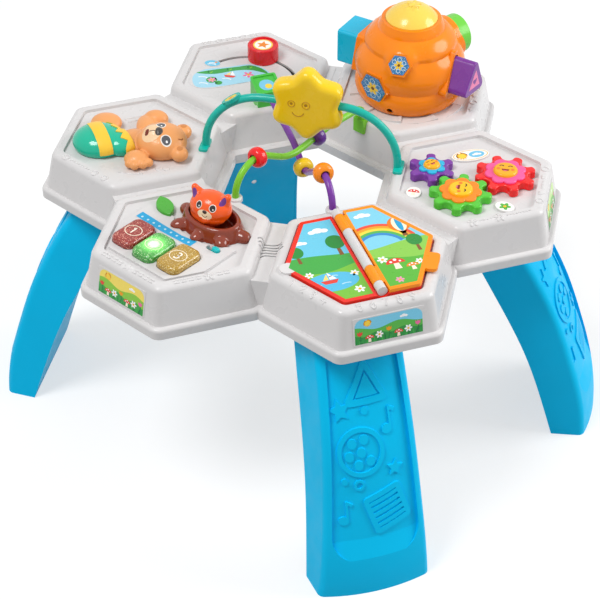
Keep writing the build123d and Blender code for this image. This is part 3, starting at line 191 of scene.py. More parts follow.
def ramp(tree, factor, *stops):
    node = add(tree, "ValToRGB", {"Fac": factor})
    bar = node.color_ramp.elements
    while len(bar) < len(stops):
        bar.new(1.0)
    for element, (place, colour) in zip(bar, stops):
        element.position = place
        element.color = colour
    return node.outputs["Color"]


NOISE_LOW, NOISE_HIGH = 0.3, 0.7   # most of a noise lies between these
FLOW_SCALE, GLOSS_SCALE, SKIN_SCALE = 11.0, 55.0, 1400.0
SKIN_DEPTH = 0.0002
GLOSS_BELOW, GLOSS_ABOVE = 0.06, 0.08   # how far a moulding's roughness strays


def noise(tree, where, scale, detail=2.0):
    return add(tree, "TexNoise", {"Vector": where, "Scale": scale, "Detail": detail}).outputs["Fac"]


def spread(tree, value, low, high, start=NOISE_LOW, end=NOISE_HIGH):
    """A value, mostly a noise's, spread over a range."""
    inputs = {"Value": value, "From Min": start, "From Max": end, "To Min": low, "To Max": high}
    return add(tree, "MapRange", inputs).outputs["Result"]


def mottled(tree, factor, colour, vary):
    """A colour that a noise makes a little darker and lighter."""
    return ramp(tree, factor, (NOISE_LOW, shade(colour, 1 - vary)), (NOISE_HIGH, shade(colour, 1 + vary)))


def uneven(tree, where, scale, low, high):
    return spread(tree, noise(tree, where, scale), low, high)


def new_finish(name, coat, specular=0.5):
    material = bpy.data.materials.new(name)
    material.use_nodes = True
    tree = material.node_tree
    shader = tree.nodes["Principled BSDF"]
    give(shader, {"Coat Weight": coat, "Coat Roughness": 0.08, "Specular IOR Level": specular})
    where = add(tree, "TexCoord").outputs["Object"]
    return material, tree, shader, where


def moulded(name, colour, rough=0.3, coat=0.1, vary=0.04, grain=0.03, specular=0.3):
    """Moulded plastic: faint flow shading in the colour, uneven gloss and a fine skin."""
    material, tree, shader, where = new_finish(name, coat, specular)
    tone = mottled(tree, noise(tree, where, FLOW_SCALE, 3.0), paint(colour), vary)
    gloss = uneven(tree, where, GLOSS_SCALE, rough - GLOSS_BELOW, rough + GLOSS_ABOVE)
    skin = noise(tree, where, SKIN_SCALE, 1.0)
    bump = add(tree, "Bump", {"Height": skin, "Strength": grain, "Distance": SKIN_DEPTH})
    give(shader, {"Base Color": tone, "Roughness": gloss, "Normal": bump.outputs["Normal"]})
    return material


def spotted(name, rim_colour, core_colour, middle, radius):
    """Moulded plastic with a round spot of a second colour about an upright line through a point."""
    material, tree, shader, where = new_finish(name, 0.15, 0.3)
    centred = add(tree, "Mapping", {"Vector": where, "Location": (-middle[0], -middle[1], 0.0)})
    flat = add(tree, "VectorMath", {0: centred.outputs["Vector"], 1: (1, 1, 0)}, operation="MULTIPLY")
    reach = add(tree, "VectorMath", {0: flat.outputs["Vector"]}, operation="LENGTH").outputs["Value"]
    inside = reckon(tree, "LESS_THAN", reach, radius * MM)
    flow = noise(tree, where, 16.0, 3.0)
    outer = mottled(tree, flow, paint(rim_colour), 0.05)
    inner = mottled(tree, flow, paint(core_colour), 0.05)
    mix = add(tree, "MixRGB", {"Fac": inside, "Color1": outer, "Color2": inner})
    gloss = uneven(tree, where, 60.0, 0.24, 0.38)
    give(shader, {"Base Color": mix.outputs["Color"], "Roughness": gloss})
    return material


def glitter(name, colour, flake, cell=1500.0, glow=None):
    """Clear plastic with metal flakes in it. A lit key also glows about the point that glow names."""
    material, tree, shader, where = new_finish(name, 0.6, 0.4)
    flakes = add(tree, "TexVoronoi", {"Vector": where, "Scale": cell}).outputs["Color"]
    pick = add(tree, "SeparateColor", {"Color": flakes}).outputs["Red"]
    base = paint(colour)
    stops = (0.0, shade(base, 0.72)), (0.6, base), (0.88, shade(base, 1.35)), (0.95, paint(flake))
    give(shader, {"Base Color": ramp(tree, pick, *stops), "Roughness": spread(tree, pick, 0.42, 0.22)})
    if glow is not None:
        lamp_at, lamp_r, lamp_colour = glow
        away = add(tree, "VectorMath", {0: where, 1: lamp_at}, operation="DISTANCE").outputs["Value"]
        near = spread(tree, away, 1.0, 0.0, 0.0, lamp_r)
        fall = reckon(tree, "POWER", near, 2.6)
        edge = shade(paint(lamp_colour), 0.7)
        light = ramp(tree, fall, (0.0, (0, 0, 0, 1)), (0.35, edge), (0.8, (1, 1, 1, 1)))
        give(shader, {"Emission Color": light, "Emission Strength": 1.6})
    return material


def printed():
    """Sticker paper under a clear film, inked by the piece's own colours."""
    material, tree, shader, where = new_finish("sticker_ink", 0.1, 0.25)
    ink = add(tree, "Attribute", attribute_name="ink").outputs["Color"]
    dots = noise(tree, where, 900.0, 1.0)
    tint = ramp(tree, dots, (0.35, (0.95, 0.95, 0.95, 1)), (0.65, (1, 1, 1, 1)))
    mix = add(tree, "MixRGB", {"Fac": 1.0, "Color1": ink, "Color2": tint}, blend_type="MULTIPLY")
    give(shader, {"Base Color": mix.outputs["Color"], "Roughness": uneven(tree, where, 80.0, 0.26, 0.4)})
    return material


def steel():
    material, tree, shader, where = new_finish("screw_steel", 0.0)
    dull, bright = (0.42, 0.42, 0.43, 1), (0.62, 0.62, 0.63, 1)
    tone = ramp(tree, noise(tree, where, 600.0), (NOISE_LOW, dull), (NOISE_HIGH, bright))
    give(shader, {"Metallic": 1.0, "Base Color": tone, "Roughness": uneven(tree, where, 300.0, 0.25, 0.45)})
    return material


WHITE = moulded("white_moulding", "#d9d7d7", rough=0.3, coat=0.15, vary=0.012, grain=0.02)
BLUE = moulded("leg_blue", "#00c4f7", rough=0.42, coat=0.0, vary=0.03, specular=0.12)
INK = printed()

# plain mouldings: name of the finish, colour, roughness and, where it isn't the usual one, coat
MOULDINGS = {
    "teal_arch": ("arch_teal", "#0fb5a5", 0.28),
    "mode_switch": ("switch_teal", "#12bfc2", 0.25),
    "green_wire": ("wire_green", "#7cc932", 0.25),
    "purple_wire": ("wire_purple", "#78389f", 0.25),
    "bead_red": ("bead_red", "#ec1218", 0.2, 0.3),
    "bead_purple": ("bead_purple", "#5f2590", 0.2, 0.3),
    "bead_yellow": ("bead_yellow", "#f3c824", 0.2, 0.3),
    "bead_orange": ("bead_orange", "#fb8e0e", 0.2, 0.3),
    "slider_drum": ("drum_red", "#e01c26", 0.25, 0.2),
    "picture_box": ("box_green", "#47bd42", 0.28),
    "block_blue": ("block_blue", "#10bbe2", 0.28),
    "block_green": ("block_green", "#6ecf44", 0.28),
    "block_purple": ("block_purple", "#7a3399", 0.28),
    "hive_button": ("button_yellow", "#fbd557", 0.24, 0.25),
    "hive_spindle": ("spindle_white", "#dedcdc", 0.4),
    "wheel_green": ("wheel_green", "#52c433", 0.24, 0.25),
    "wheel_red": ("wheel_red", "#f01c1c", 0.24, 0.25),
    "wheel_purple": ("wheel_purple", "#7a369f", 0.24, 0.25),
    "leaf": ("leaf_green", "#44a82c", 0.26, 0.3),
    "bear_trim": ("trim_yellow", "#fbcb40", 0.35),
    "flip_page": ("page_orange", "#ff950e", 0.32),
    "speaker": ("speaker_black", "#202022", 0.6),
    "circuit_board": ("board_green", "#1d6b3a", 0.5),
    "key_pads": ("pad_rubber", "#bdbdb8", 0.7, 0.0),
    "batteries": ("battery_wrap", "#3b3f45", 0.4),
}

LAMP_R = 0.024   # metres that the lit key's glow reaches about the middle of its cap
BOARD_TAB = at(BOOK, -71.0, -41.0, 0.0).translation

FINISHES = {
    "shell_fox_book shell_gears_hive shell_pond_bear book_spine garden_plaques labels": WHITE,
    "base_fox_book base_gears_hive base_pond_bear battery_door": WHITE,
    "leg_bear leg_book leg_gears leg_pond": BLUE,
    "leg_cover_bear leg_cover_book leg_cover_gears leg_cover_pond": BLUE,
    "hive_plaques": glitter("plaque_blue", "#1577b8", "#bfe6ff"),
    "petals_green": spotted("petals_orange", "#fc8a18", "#fbc21a", top_of("petals_green"), 14.2),
    "petals_red": spotted("petals_pink", "#f55a9c", "#fab018", top_of("petals_red"), 14.2),
    "petals_purple": spotted("petals_teal", "#1fb6e0", "#fab51c", top_of("petals_purple"), 9.8),
    "key_red": glitter("key_red", "#96281f", "#ffb9a0"),
    "key_gold": glitter("key_gold", "#b18a28", "#fff0b0"),
    "base_screws leg_screws": steel(),
    "key_green": glitter("key_green", "#3f9a3c", "#d9ffc0", glow=(top_of("key_green"), LAMP_R, "#8dff7a")),
    "book_board": spotted("board_red", "#ee2f22", "#dfdddd", BOARD_TAB, 9.4),
}
FINISHES.update({node: moulded(*row) for node, row in MOULDINGS.items()})

for names, finish in FINISHES.items():
    for node in names.split():
        shown = NODES[node]
        if not shown.material_slots:
            shown.data.materials.append(finish)
        for place in shown.material_slots:
            place.material = finish


# making pieces

def linked(name, data):
    obj = bpy.data.objects.new(name, data)
    bpy.context.scene.collection.objects.link(obj)
    return obj


def to_mesh(bm, name):
    mesh = bpy.data.meshes.new(name)
    bm.to_mesh(mesh)
    bm.free()
    return mesh


def merged(node):
    """A solid's own form with its loose triangles joined."""
    bm = bmesh.new()
    bm.from_mesh(NODES[node].data)
    bmesh.ops.remove_doubles(bm, verts=bm.verts[:], dist=WELD)
    return bm


def settle(name, mesh, body, material):
    obj = linked(name, mesh)
    mesh.materials.clear()
    mesh.materials.append(material)
    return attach(obj, body)


def stand_in(name, mesh, node, material):
    """A piece that takes a solid's place, on the solid's own body."""
    obj = settle(name, mesh, NODES[node]["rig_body"], material)
    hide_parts(node)
    return obj


def plain_mesh(maker):
    """The finished mesh of an object with its modifiers, which are then thrown away with it."""
    bpy.context.view_layer.update()
    mesh = bpy.data.meshes.new_from_object(maker.evaluated_get(bpy.context.evaluated_depsgraph_get()))
    maker.modifiers.clear()
    bpy.data.objects.remove(maker)
    return mesh


def remould(node, name, voxel, rounds, material, bumps=()):
    """A moulding that takes a solid's place: its forms run softly into each other, with a few more bumps."""
    bm = merged(node)
    for place, size in bumps:
        scale = Matrix.Diagonal((*[s * MM for s in size], 1.0))
        bmesh.ops.create_icosphere(bm, subdivisions=3, radius=1.0, matrix=place @ scale)
    form = linked(name + "_form", to_mesh(bm, name + "_form"))
    grid = form.modifiers.new("even grid", "REMESH")
    grid.mode = "VOXEL"
    grid.voxel_size = voxel * MM
    ease = form.modifiers.new("ease", "SMOOTH")
    ease.iterations = rounds
    result = plain_mesh(form)
    result.shade_smooth()
    return stand_in(name, result, node, material)


def smoothed(node, name, crease, material, reshape):
    """A solid's own form, a little reshaped, with the narrow facets of its rounds shaded as one surface."""
    bm = merged(node)
    for v in bm.verts:
        v.co = reshape(v.co)
    mesh = to_mesh(bm, name)
    old_normals = mesh.attributes.get("custom_normal")
    if old_normals:
        mesh.attributes.remove(old_normals)
    mesh.shade_smooth()
    mesh.set_sharp_from_angle(angle=math.radians(crease))
    return stand_in(name, mesh, node, material)


PLAIN = (1.0, 1.0, 1.0, 1.0)
# sections of marks and lines: share of the way out, or of the width, and share of the height
RELIEF = ((0.5, 1.0), (0.8, 0.95), (0.92, 0.65), (1.0, -0.1))
RIDGE = ((0.5, 0.0), (0.4, 0.7), (0.22, 1.0), (-0.22, 1.0), (-0.4, 0.7), (-0.5, 0.0))
FLAT = ((0.5, 0.0), (-0.5, 0.0))


class Sheet:
    """Print drawn in mm: shapes lie on each other by a hair, each in its own ink."""

    def __init__(self):
        self.bm = bmesh.new()
        self.ink = self.bm.loops.layers.float_color.new("ink")

    def face(self, verts, colour):
        made = self.bm.faces.new(verts)
        made.smooth = True
        for loop in made.loops:
            loop[self.ink] = colour

    def fill(self, points, colour, level):
        points = list(points)
        turn = sum(a[0] * b[1] - b[0] * a[1] for a, b in zip(points, points[1:] + points[:1]))
        if turn < 0:
            points.reverse()
        self.face([self.drop(x, y, level * HAIR) for x, y in points], paint(colour))

    def drop(self, x, y, lift):
        return self.bm.verts.new((x, y, lift))

    def band(self, points, width, colour, section, lift, dome=0.0):
        """A line of a given section, raised by dome along its middle."""
        ink = paint(colour)
        last = None
        for (x, y), (dx, dy) in zip(points, headings(points)):
            side = []
            for k, share in section:
                side.append(self.drop(x - dy * width * k, y + dx * width * k, lift + dome * share))
            if last:
                for i in range(len(side) - 1):
                    self.face((last[i], last[i + 1], side[i + 1], side[i]), ink)
            last = side

    def line(self, points, width, colour, level):
        self.band(points, width, colour, FLAT, level * HAIR)

    def clip(self, outline):
        """Cuts the print off at a convex outline, given anticlockwise."""
        bmesh.ops.triangulate(self.bm, faces=self.bm.faces[:])
        for a, b in zip(outline, outline[1:] + outline[:1]):
            whole = self.bm.verts[:] + self.bm.edges[:] + self.bm.faces[:]
            side = (b[1] - a[1], a[0] - b[0], 0)
            bmesh.ops.bisect_plane(self.bm, geom=whole, plane_co=(*a, 0), plane_no=side, clear_outer=True)

    def lay(self, name, place, body="table"):
        bmesh.ops.triangulate(self.bm, faces=[f for f in self.bm.faces if len(f.verts) > 4])
        self.bm.transform(place @ Matrix.Scale(MM, 4))
        return self.done(name, body)

    def done(self, name, body, material=INK):
        return settle(name, to_mesh(self.bm, name), body, material)


class Decal(Sheet):
    """Print, or a raised mark, that follows a curved piece: drawn in mm on a plane and dropped along -z."""

    FROM = 60.0   # mm above the plane, where each drop starts

    def __init__(self, target, place):
        super().__init__()
        form = bmesh.new()
        form.from_mesh(target.data)
        self.tree = BVHTree.FromBMesh(form)
        form.free()
        self.place = place @ Matrix.Scale(MM, 4)
        self.down = -(place.to_3x3() @ Vector((0, 0, 1)))

    def drop(self, x, y, lift):
        start = self.place @ Vector((x, y, self.FROM))
        spot, normal, _, _ = self.tree.ray_cast(start, self.down)
        if spot is None:
            spot, normal, _, _ = self.tree.find_nearest(self.place @ Vector((x, y, 0.0)))
        return self.bm.verts.new(spot + normal * lift * MM)

    def grow(self, points, peak, levels, ink):
        """A filled shape from its middle, peak high, out through rings: share of the way out, height."""
        points = list(points)
        n = len(points)
        cx, cy = sum(p[0] for p in points) / n, sum(p[1] for p in points) / n
        middle = self.drop(cx, cy, peak)
        last = None
        for t, high in levels:
            ring = [self.drop(cx + (x - cx) * t, cy + (y - cy) * t, high) for x, y in points]
            for i in range(n):
                j = (i + 1) % n
                if last is None:
                    self.face((middle, ring[i], ring[j]), ink)
                else:
                    self.face((last[i], ring[i], ring[j], last[j]), ink)
            last = ring

    def relief(self, points):
        """A raised shape with a flat top and steep sides."""
        self.grow(points, MARK_LIFT + EMBOSS, [(t, MARK_LIFT + EMBOSS * share) for t, share in RELIEF], PLAIN)

    def ridge(self, points, width, closed=False):
        """A raised line."""
        self.stroke(dense(points, closed=closed), width, SNOW, MARK_LIFT, EMBOSS)

    def patch(self, points, colour, lift, dome=0.0, rings=5):
        """A filled shape, raised by dome in its middle."""
        steps = [k / rings for k in range(1, rings + 1)]
        self.grow(points, lift + dome, [(t, lift + dome * (1 - t * t)) for t in steps], paint(colour))

    def stroke(self, points, width, colour, lift, dome=0.0):
        self.band(points, width, colour, RIDGE, lift, dome)


def headings(points):
    """Unit direction of a line at each of its points."""
    found = []
    for i in range(len(points)):
        a, b = points[max(0, i - 1)], points[min(len(points) - 1, i + 1)]
        length = math.hypot(b[0] - a[0], b[1] - a[1]) or 1.0
        found.append(((b[0] - a[0]) / length, (b[1] - a[1]) / length))
    return found


# shapes for prints and raised marks, in mm

def oval(x, y, rx, ry=None, turn=0.0, n=28):
    ry = rx if ry is None else ry
    ring = [polar(1.0, 360.0 * i / n) for i in range(n)]
    return spin([(rx * a, ry * b) for a, b in ring], x, y, turn)


def arc(x, y, r, start, end, n=14, squash=1.0):
    ring = [polar(r, start + (end - start) * i / n) for i in range(n + 1)]
    return [(x + a, y + squash * b) for a, b in ring]


def smooth_loop(points, steps=6):
    """A closed smooth curve through some points."""
    found = []
    n = len(points)
    for i in range(n):
        a, b, c, d = (points[(i + k) % n] for k in (-1, 0, 1, 2))
        for k in range(steps):
            t = k / steps
            w = (-t + 2 * t * t - t ** 3, 2 - 5 * t * t + 3 * t ** 3,
                 t + 4 * t * t - 3 * t ** 3, t ** 3 - t * t)
            found.append(tuple(sum(f * p[j] for f, p in zip(w, (a, b, c, d))) / 2 for j in (0, 1)))
    return found


def spin(points, x=0.0, y=0.0, turn=0.0, size=1.0):
    """Points scaled and turned about their origin, which goes to a place."""
    c, s = polar(size, turn)
    return [(x + a * c - b * s, y + a * s + b * c) for a, b in points]


def star_points(x, y, r_out, r_in, count=5, turn=90.0):
    return spin([polar(r_in if i % 2 else r_out, turn + 180.0 * i / count) for i in range(2 * count)], x, y)


def heart(x, y, size, n=24):
    ring = []
    for i in range(n):
        t = math.tau * i / n
        high = 0.65 * math.cos(t) - 0.25 * math.cos(2 * t) - 0.1 * math.cos(3 * t)
        ring.append((0.8 * math.sin(t) ** 3, high))
    return spin(ring, x, y, 0, size)


def hexagon(apothem):
    r = apothem / math.cos(math.radians(30))
    return [polar(r, a) for a in range(30, 390, 60)]


def hill(x0, x1, base, top, swing, waves, phase, n=30):
    ridge = []
    for i in range(n + 1):
        x = x0 + (x1 - x0) * i / n
        ridge.append((x, top + swing * math.sin(phase + waves * math.tau * i / n)))
    return [(x0, base)] + ridge + [(x1, base)]


def blade(x, y, h, lean, w):
    tip = (x + lean, y + h)
    return [(x - w / 2, y), (x + w / 2, y), (x + w / 2 + lean * 0.35, y + h * 0.55), tip,
            (x - w / 2 + lean * 0.3, y + h * 0.5)]


# generic motifs for the stickers

def daisy(sheet, x, y, r, petals, core, level, count=6):
    for i in range(count):
        way = 360.0 * i / count
        dx, dy = polar(0.62 * r, way)
        sheet.fill(oval(x + dx, y + dy, 0.42 * r, 0.26 * r, way, 14), petals, level + i % 2)
    sheet.fill(oval(x, y, 0.3 * r, n=14), core, level + 2)


def tulip(sheet, x, y, h, cup, level):
    sheet.line([(x, y), (x + 0.06 * h, y + 0.4 * h), (x, y + 0.75 * h)], 0.07 * h, "#1d7f3d", level)
    sheet.fill(spin([(0, 0), (0.5, 0.1), (0.1, 0.7)], x, y + 0.1 * h, -30, 0.6 * h), "#2c9a45", level + 1)
    bell = [(-1, 0.9), (-0.9, -0.4), (0, -1), (0.9, -0.4), (1, 0.9), (0.45, 0.35), (0, 1), (-0.45, 0.35)]
    sheet.fill(spin(bell, x, y + 0.78 * h, 0, 0.2 * h), cup, level + 2)


def mushroom(sheet, x, y, size, cap, level):
    stem = [(-0.2, 0), (0.2, 0), (0.13, 0.6), (-0.13, 0.6)]
    sheet.fill(spin(stem, x, y, 0, size), "#fff3dc", level)
    sheet.fill(arc(x, y + 0.5 * size, 0.55 * size, 0, 180, 16, 0.8), cap, level + 1)
    for dx, dy, r in ((-0.25, 0.66, 0.08), (0.02, 0.8, 0.1), (0.27, 0.64, 0.07)):
        sheet.fill(oval(x + dx * size, y + dy * size, r * size, n=10), SNOW, level + 2)


def cloud(sheet, x, y, size, level):
    for i, (dx, dy, r) in enumerate(((-0.55, 0, 0.34), (0, 0.12, 0.48), (0.55, 0, 0.36))):
        puff = oval(x + dx * size, y + dy * size, r * size, 0.75 * r * size, n=18)
        sheet.fill(puff, SNOW, level + i * 0.3)


def sun(sheet, x, y, r, level):
    sheet.fill(star_points(x, y, 1.55 * r, 1.1 * r, 12), "#ffb52b", level)
    sheet.fill(oval(x, y, r), SUNNY, level + 1)


def round_tree(sheet, x, y, h, leaves, level):
    trunk = [(-0.07, 0), (0.07, 0), (0.05, 0.5), (-0.05, 0.5)]
    sheet.fill(spin(trunk, x, y, 0, h), WOOD, level)
    sheet.fill(oval(x, y + 0.68 * h, 0.3 * h, 0.34 * h), leaves, level + 1)


def balloon(sheet, x, y, r, level):
    skirt = [(-0.5, -0.7), (0.5, -0.7), (0.16, -1.4), (-0.16, -1.4)]
    sheet.fill(spin(skirt, x, y, 0, r), "#e9842a", level)
    for i, (wide, colour) in enumerate(((1.0, "#ef7f1a"), (0.62, "#fff4d8"), (0.26, "#2aa7d8"))):
        sheet.fill(oval(x, y, wide * r, (1.05 - 0.01 * i) * r), colour, level + 1 + i)
    basket = [(-0.2, -1.75), (0.2, -1.75), (0.24, -1.4), (-0.24, -1.4)]
    sheet.fill(spin(basket, x, y, 0, r), WOOD, level + 1)


def boat(sheet, x, y, size, level):
    hull = [(-0.6, 0.2), (0.6, 0.2), (0.38, -0.15), (-0.38, -0.15)]
    sheet.fill(spin(hull, x, y, 0, size), "#e5473a", level)
    sheet.fill(spin([(0.04, 0.26), (0.5, 0.26), (0.04, 1.0)], x, y, 0, size), SNOW, level)
    sheet.fill(spin([(-0.04, 0.26), (-0.42, 0.26), (-0.04, 0.85)], x, y, 0, size), "#ffe27a", level)


def lily_pad(sheet, x, y, r, turn, level):
    sheet.fill(spin(arc(0, 0, 1, 20, 340, 20) + [(0, 0)], x, y, turn, r), "#3aa548", level)


def grass(sheet, x0, x1, y, h, colours, level, count):
    for i in range(count):
        x = x0 + (x1 - x0) * (i + 0.5) / count
        tall = h * (0.65 + 0.35 * math.sin(2.4 * i) ** 2)
        stalk = blade(x, y, tall, 0.35 * h * math.sin(1.7 * i), 0.16 * h)
        sheet.fill(stalk, colours[i % len(colours)], level + i % 2)


# soft figures

# how far the hive's shoulder is drawn in at each height, as a share of the radius
SHOULDER = [(390.0, 0.0), (402.0, 0.035), (408.0, 0.065), (414.0, 0.1), (419.0, 0.085), (426.0, 0.095),
            (431.0, 0.1), (436.0, 0.07), (446.5, 0.0)]
SHOULDER_IN = 36.0          # what lies nearer to the axis stays
SOCKET_HALF = (30.0, 45.0)  # beside a socket the shoulder is drawn in along the socket's own line
SEAT_ROOM = (15.0, 26.0)    # the seats of the two upper plaques stay
HIVE_CREASE = 24.0          # degrees, above which an edge stays sharp


def eased(value, low, high):
    """0 up to low, 1 from high, and a soft rise between."""
    part = min(1.0, max(0.0, (value - low) / (high - low)))
    return part * part * (3 - 2 * part)


def between(table, x):
    """The value at x on straight runs between a table's points, and 0 outside it."""
    for (x0, y0), (x1, y1) in zip(table, table[1:]):
        if x0 <= x <= x1:
            return y0 + (y1 - y0) * (x - x0) / (x1 - x0)
    return 0.0


def drawn_in(point):
    """A point of the hive, with the hive's shoulder drawn in."""
    reach = (point - at(HIVE, 0, 0, 0).translation) / MM
    share = between(SHOULDER, reach.z)
    reach.z = 0.0
    if share == 0.0 or reach.length < SHOULDER_IN:
        return point
    for azimuth, r, z, _, _ in HIVE_PLAQUES[1:]:
        share *= eased((point - on_hive(azimuth, r, z).translation).length / MM, *SEAT_ROOM)
    way = reach.normalized()
    for azimuth, _, _ in BLOCKS.values():
        line = turned(azimuth).to_3x3() @ Vector((1, 0, 0))
        beside = math.degrees(reach.angle(line))
        way = line.lerp(way, eased(beside, *SOCKET_HALF)).normalized()
    return point - way * (share * reach.length * MM)


HIVE_ORANGE = moulded("hive_orange", "#ff8a08", rough=0.2, coat=0.15, specular=0.25)
TAN = moulded("bear_tan", "#eea465", rough=0.36, coat=0.1)
BEAR_EARS = [(55.0, 15.5), (62.5, -31.5)]
BEAR_PAW = [(7.7, -57.6), (14.9, -60.3), (23.9, -56.4), (29.9, -51.0)]
BEAR_TOE_Z, BEAR_TOE = PAN_Z + 7.0, (5.2, 5.2, 5.6)
toes = [(at(BEAR, x, y, BEAR_TOE_Z), BEAR_TOE) for x, y in BEAR_PAW]
bear = remould("bear_figure", "bear_body", 1.1, 6, TAN, toes)
remould("bear_tummy", "bear_romper", 1.1, 4, moulded("romper_teal", "#02bb98", rough=0.18, coat=0.4))
fox = remould("fox_head", "fox_face", 0.9, 7, moulded("fox_orange", "#fc5c12", rough=0.22, coat=0.35))
BARK = moulded("bark_brown", "#8a341a", rough=0.18, coat=0.5, vary=0.2)
remould("tree_stump", "stump_bark", 1.0, 5, BARK)
smoothed("hive_shell", "hive_body", HIVE_CREASE, HIVE_ORANGE, drawn_in)
star = remould("star", "star_sun", 1.3, 8, moulded("star_yellow", "#f8cf14", rough=0.26, coat=0.25))


def dense(points, step=2.0, closed=False):
    """A line with more points on it, so that it follows what it lies on."""
    points = list(points)
    if closed:
        points.append(points[0])
    found = [points[0]]
    for a, b in zip(points, points[1:]):
        parts = max(1, math.ceil(math.dist(a, b) / step))
        for k in range(1, parts + 1):
            found.append((a[0] + (b[0] - a[0]) * k / parts, a[1] + (b[1] - a[1]) * k / parts))
    return found


def eye(decal, x, y, rx, ry, ink):
    decal.patch(oval(x, y, rx, ry), "#fbf6ee", 0.16, rings=7)
    decal.patch(oval(x, y, rx * 0.82, ry * 0.82), ink, 0.24, rings=6)
    decal.patch(oval(x + rx * 0.2, y - ry * 0.28, rx * 0.2, n=14), SNOW, 0.32, rings=2)


def bear_face():
    d = Decal(bear, at(BEAR, 0, 0, BEAR_ABOVE_Z))
    d.patch(oval(26.5, -22, 11.5, 12.0), "#f6d2a8", 0.12, rings=10)
    eye(d, 34.1, -8.2, 6.0, 6.4, "#5a5b60")
    eye(d, 45.6, -29.4, 6.4, 6.2, "#5a5b60")
    d.patch(oval(35.1, -20.5, 4.4, 6.0), "#4b4643", 0.2, dome=2.0)
    d.stroke(dense([(31, -21.3), (24, -22.3)], 1.0), 0.8, "#5a4a40", 0.26)
    d.patch(oval(21.0, -22.6, 2.4, 3.4), "#7a3326", 0.26)
    d.stroke(dense([(58, -21), (61, -18.5), (62, -15.5)], 1.0), 1.0, "#a9602f", 0.2)
    for x, y in BEAR_EARS:
        d.patch(oval(x, y, 3.6, 4.2, n=20), "#d58a4c", 0.14, rings=5)
    d.done("bear_face_print", "bear")


FOX_AT = (-37.0, 11.0, 368.0)   # middle of the head in its tray
FOX_WAY, FOX_UP = 252.0, 35.0   # way that the fox looks, and how far upwards, in degrees


def fox_face():
    c, s = polar(1.0, FOX_UP)
    facing = Matrix(((0, -s, c, 0), (1, 0, 0, 0), (0, c, s, 0), (0, 0, 0, 1)))
    d = Decal(fox, out(FOX, *FOX_AT, FOX_WAY - FOX) @ facing)
    d.patch(oval(3, -9.2, 8.6, 5.0), "#fde0bd", 0.04)
    for x in (-5.6, 11.0):
        eye(d, x, 0.0, 3.8, 4.5, "#35302f")
    d.patch(oval(3.2, -6.3, 2.7, 1.9), "#3a2320", 0.12, dome=1.2)
    d.stroke(dense(arc(3.4, -8.6, 3.2, 200, 340, 8)), 0.7, "#7a3a20", 0.12)
    for x in (-18.5, 18.5):
        d.patch(oval(x, 10.0, 3.0, 5.6, -18 if x > 0 else 18), "#6f3a8c", 0.1, rings=3)
    d.done("fox_face_print", "fox_head")


STAR_X, STAR_FRONT_Y = 8.0, -12.0


def star_face():
    d = Decal(star, moved(STAR_X, STAR_FRONT_Y, ARCH_Z) @ turned(90, "X"))
    # The raised eye rings and smile are painted a darker yellow as their shade, and the hollows inside the
    # eye rings are painted darker still as their shade.
    for x, y, r in ((-17.0, 4.3, 4.0), (-0.1, 3.6, 4.5)):
        d.stroke(dense(oval(x, y, r), closed=True), 1.1, "#d29a10", 0.05, dome=0.5)
        d.patch(oval(x, y, r * 0.45), "#b9830f", 0.08, rings=2)
    d.stroke(dense(arc(-9.2, -4.6, 7.2, 200, 340)), 1.2, "#c48d10", 0.05, dome=0.5)
    d.done("star_face_painted_shade", "star")


bear_face()
fox_face()
star_face()


# faces of the flower wheels

# each wheel's centre in its tray, the turn of its face, and its size
WHEELS = {"green": (-7.0, -40.0, -90.0, 1.0),
          "red": (38.57, 7.19, 0.0, 1.0),
          "purple": (-46.15, 1.98, 45.0, 0.68)}


def flower_face(name, x, y, turn, size):
    d = Decal(NODES["petals_" + name], at(GEARS, x, y, WHEEL_ABOVE_Z, turn))
    line = 1.5 * size
    for side in (-1, 1):
        d.stroke(dense(arc(side * 5 * size, 3.4 * size, 2.6 * size, 20, 160, 8), 0.8), line, "#3b2a22", 0.05)
        d.patch(oval(side * 8.2 * size, -1.2 * size, 2.2 * size, n=16), "#f07f2c", 0.05, rings=2)
    d.patch(spin(arc(0, 0, 1, 180, 360, 12), 0, -1.0 * size, 0, 4.6 * size), "#8c2318", 0.06, rings=3)
    d.patch(spin(arc(0, 0, 1, 205, 335, 8), 0, -2.4 * size, 0, 3.0 * size), "#f2768a", 0.10, rings=2)
    d.done("flower_face_" + name, "wheel_" + name)


for name, spot in WHEELS.items():
    flower_face(name, *spot)


# book

PAGE_HALF = 70.0     # middle of the book to a page's flat side
SPINE_HALF = 9.5     # and to where the prints begin
PAGE_SIDE = PAGE_HALF * math.tan(math.radians(30))
PAGE_TIP = PAGE_HALF / math.cos(math.radians(30))
PAGE_RIGHT = [(SPINE_HALF, -PAGE_HALF), (PAGE_SIDE, -PAGE_HALF), (PAGE_TIP, 0), (PAGE_SIDE, PAGE_HALF),
              (SPINE_HALF, PAGE_HALF)]
PAGE_LEFT = [(-x, y) for x, y in reversed(PAGE_RIGHT)]


def backdrop(sheet, outline, sky, low, high, horizon):
    sheet.fill(outline, sky, 0)
    sheet.fill(hill(-90, 90, -80, horizon, 4, 1.3, 0.5), high, 1)
    sheet.fill(hill(-90, 90, -80, horizon - 24, 5, 1.7, 2.1), low, 2)


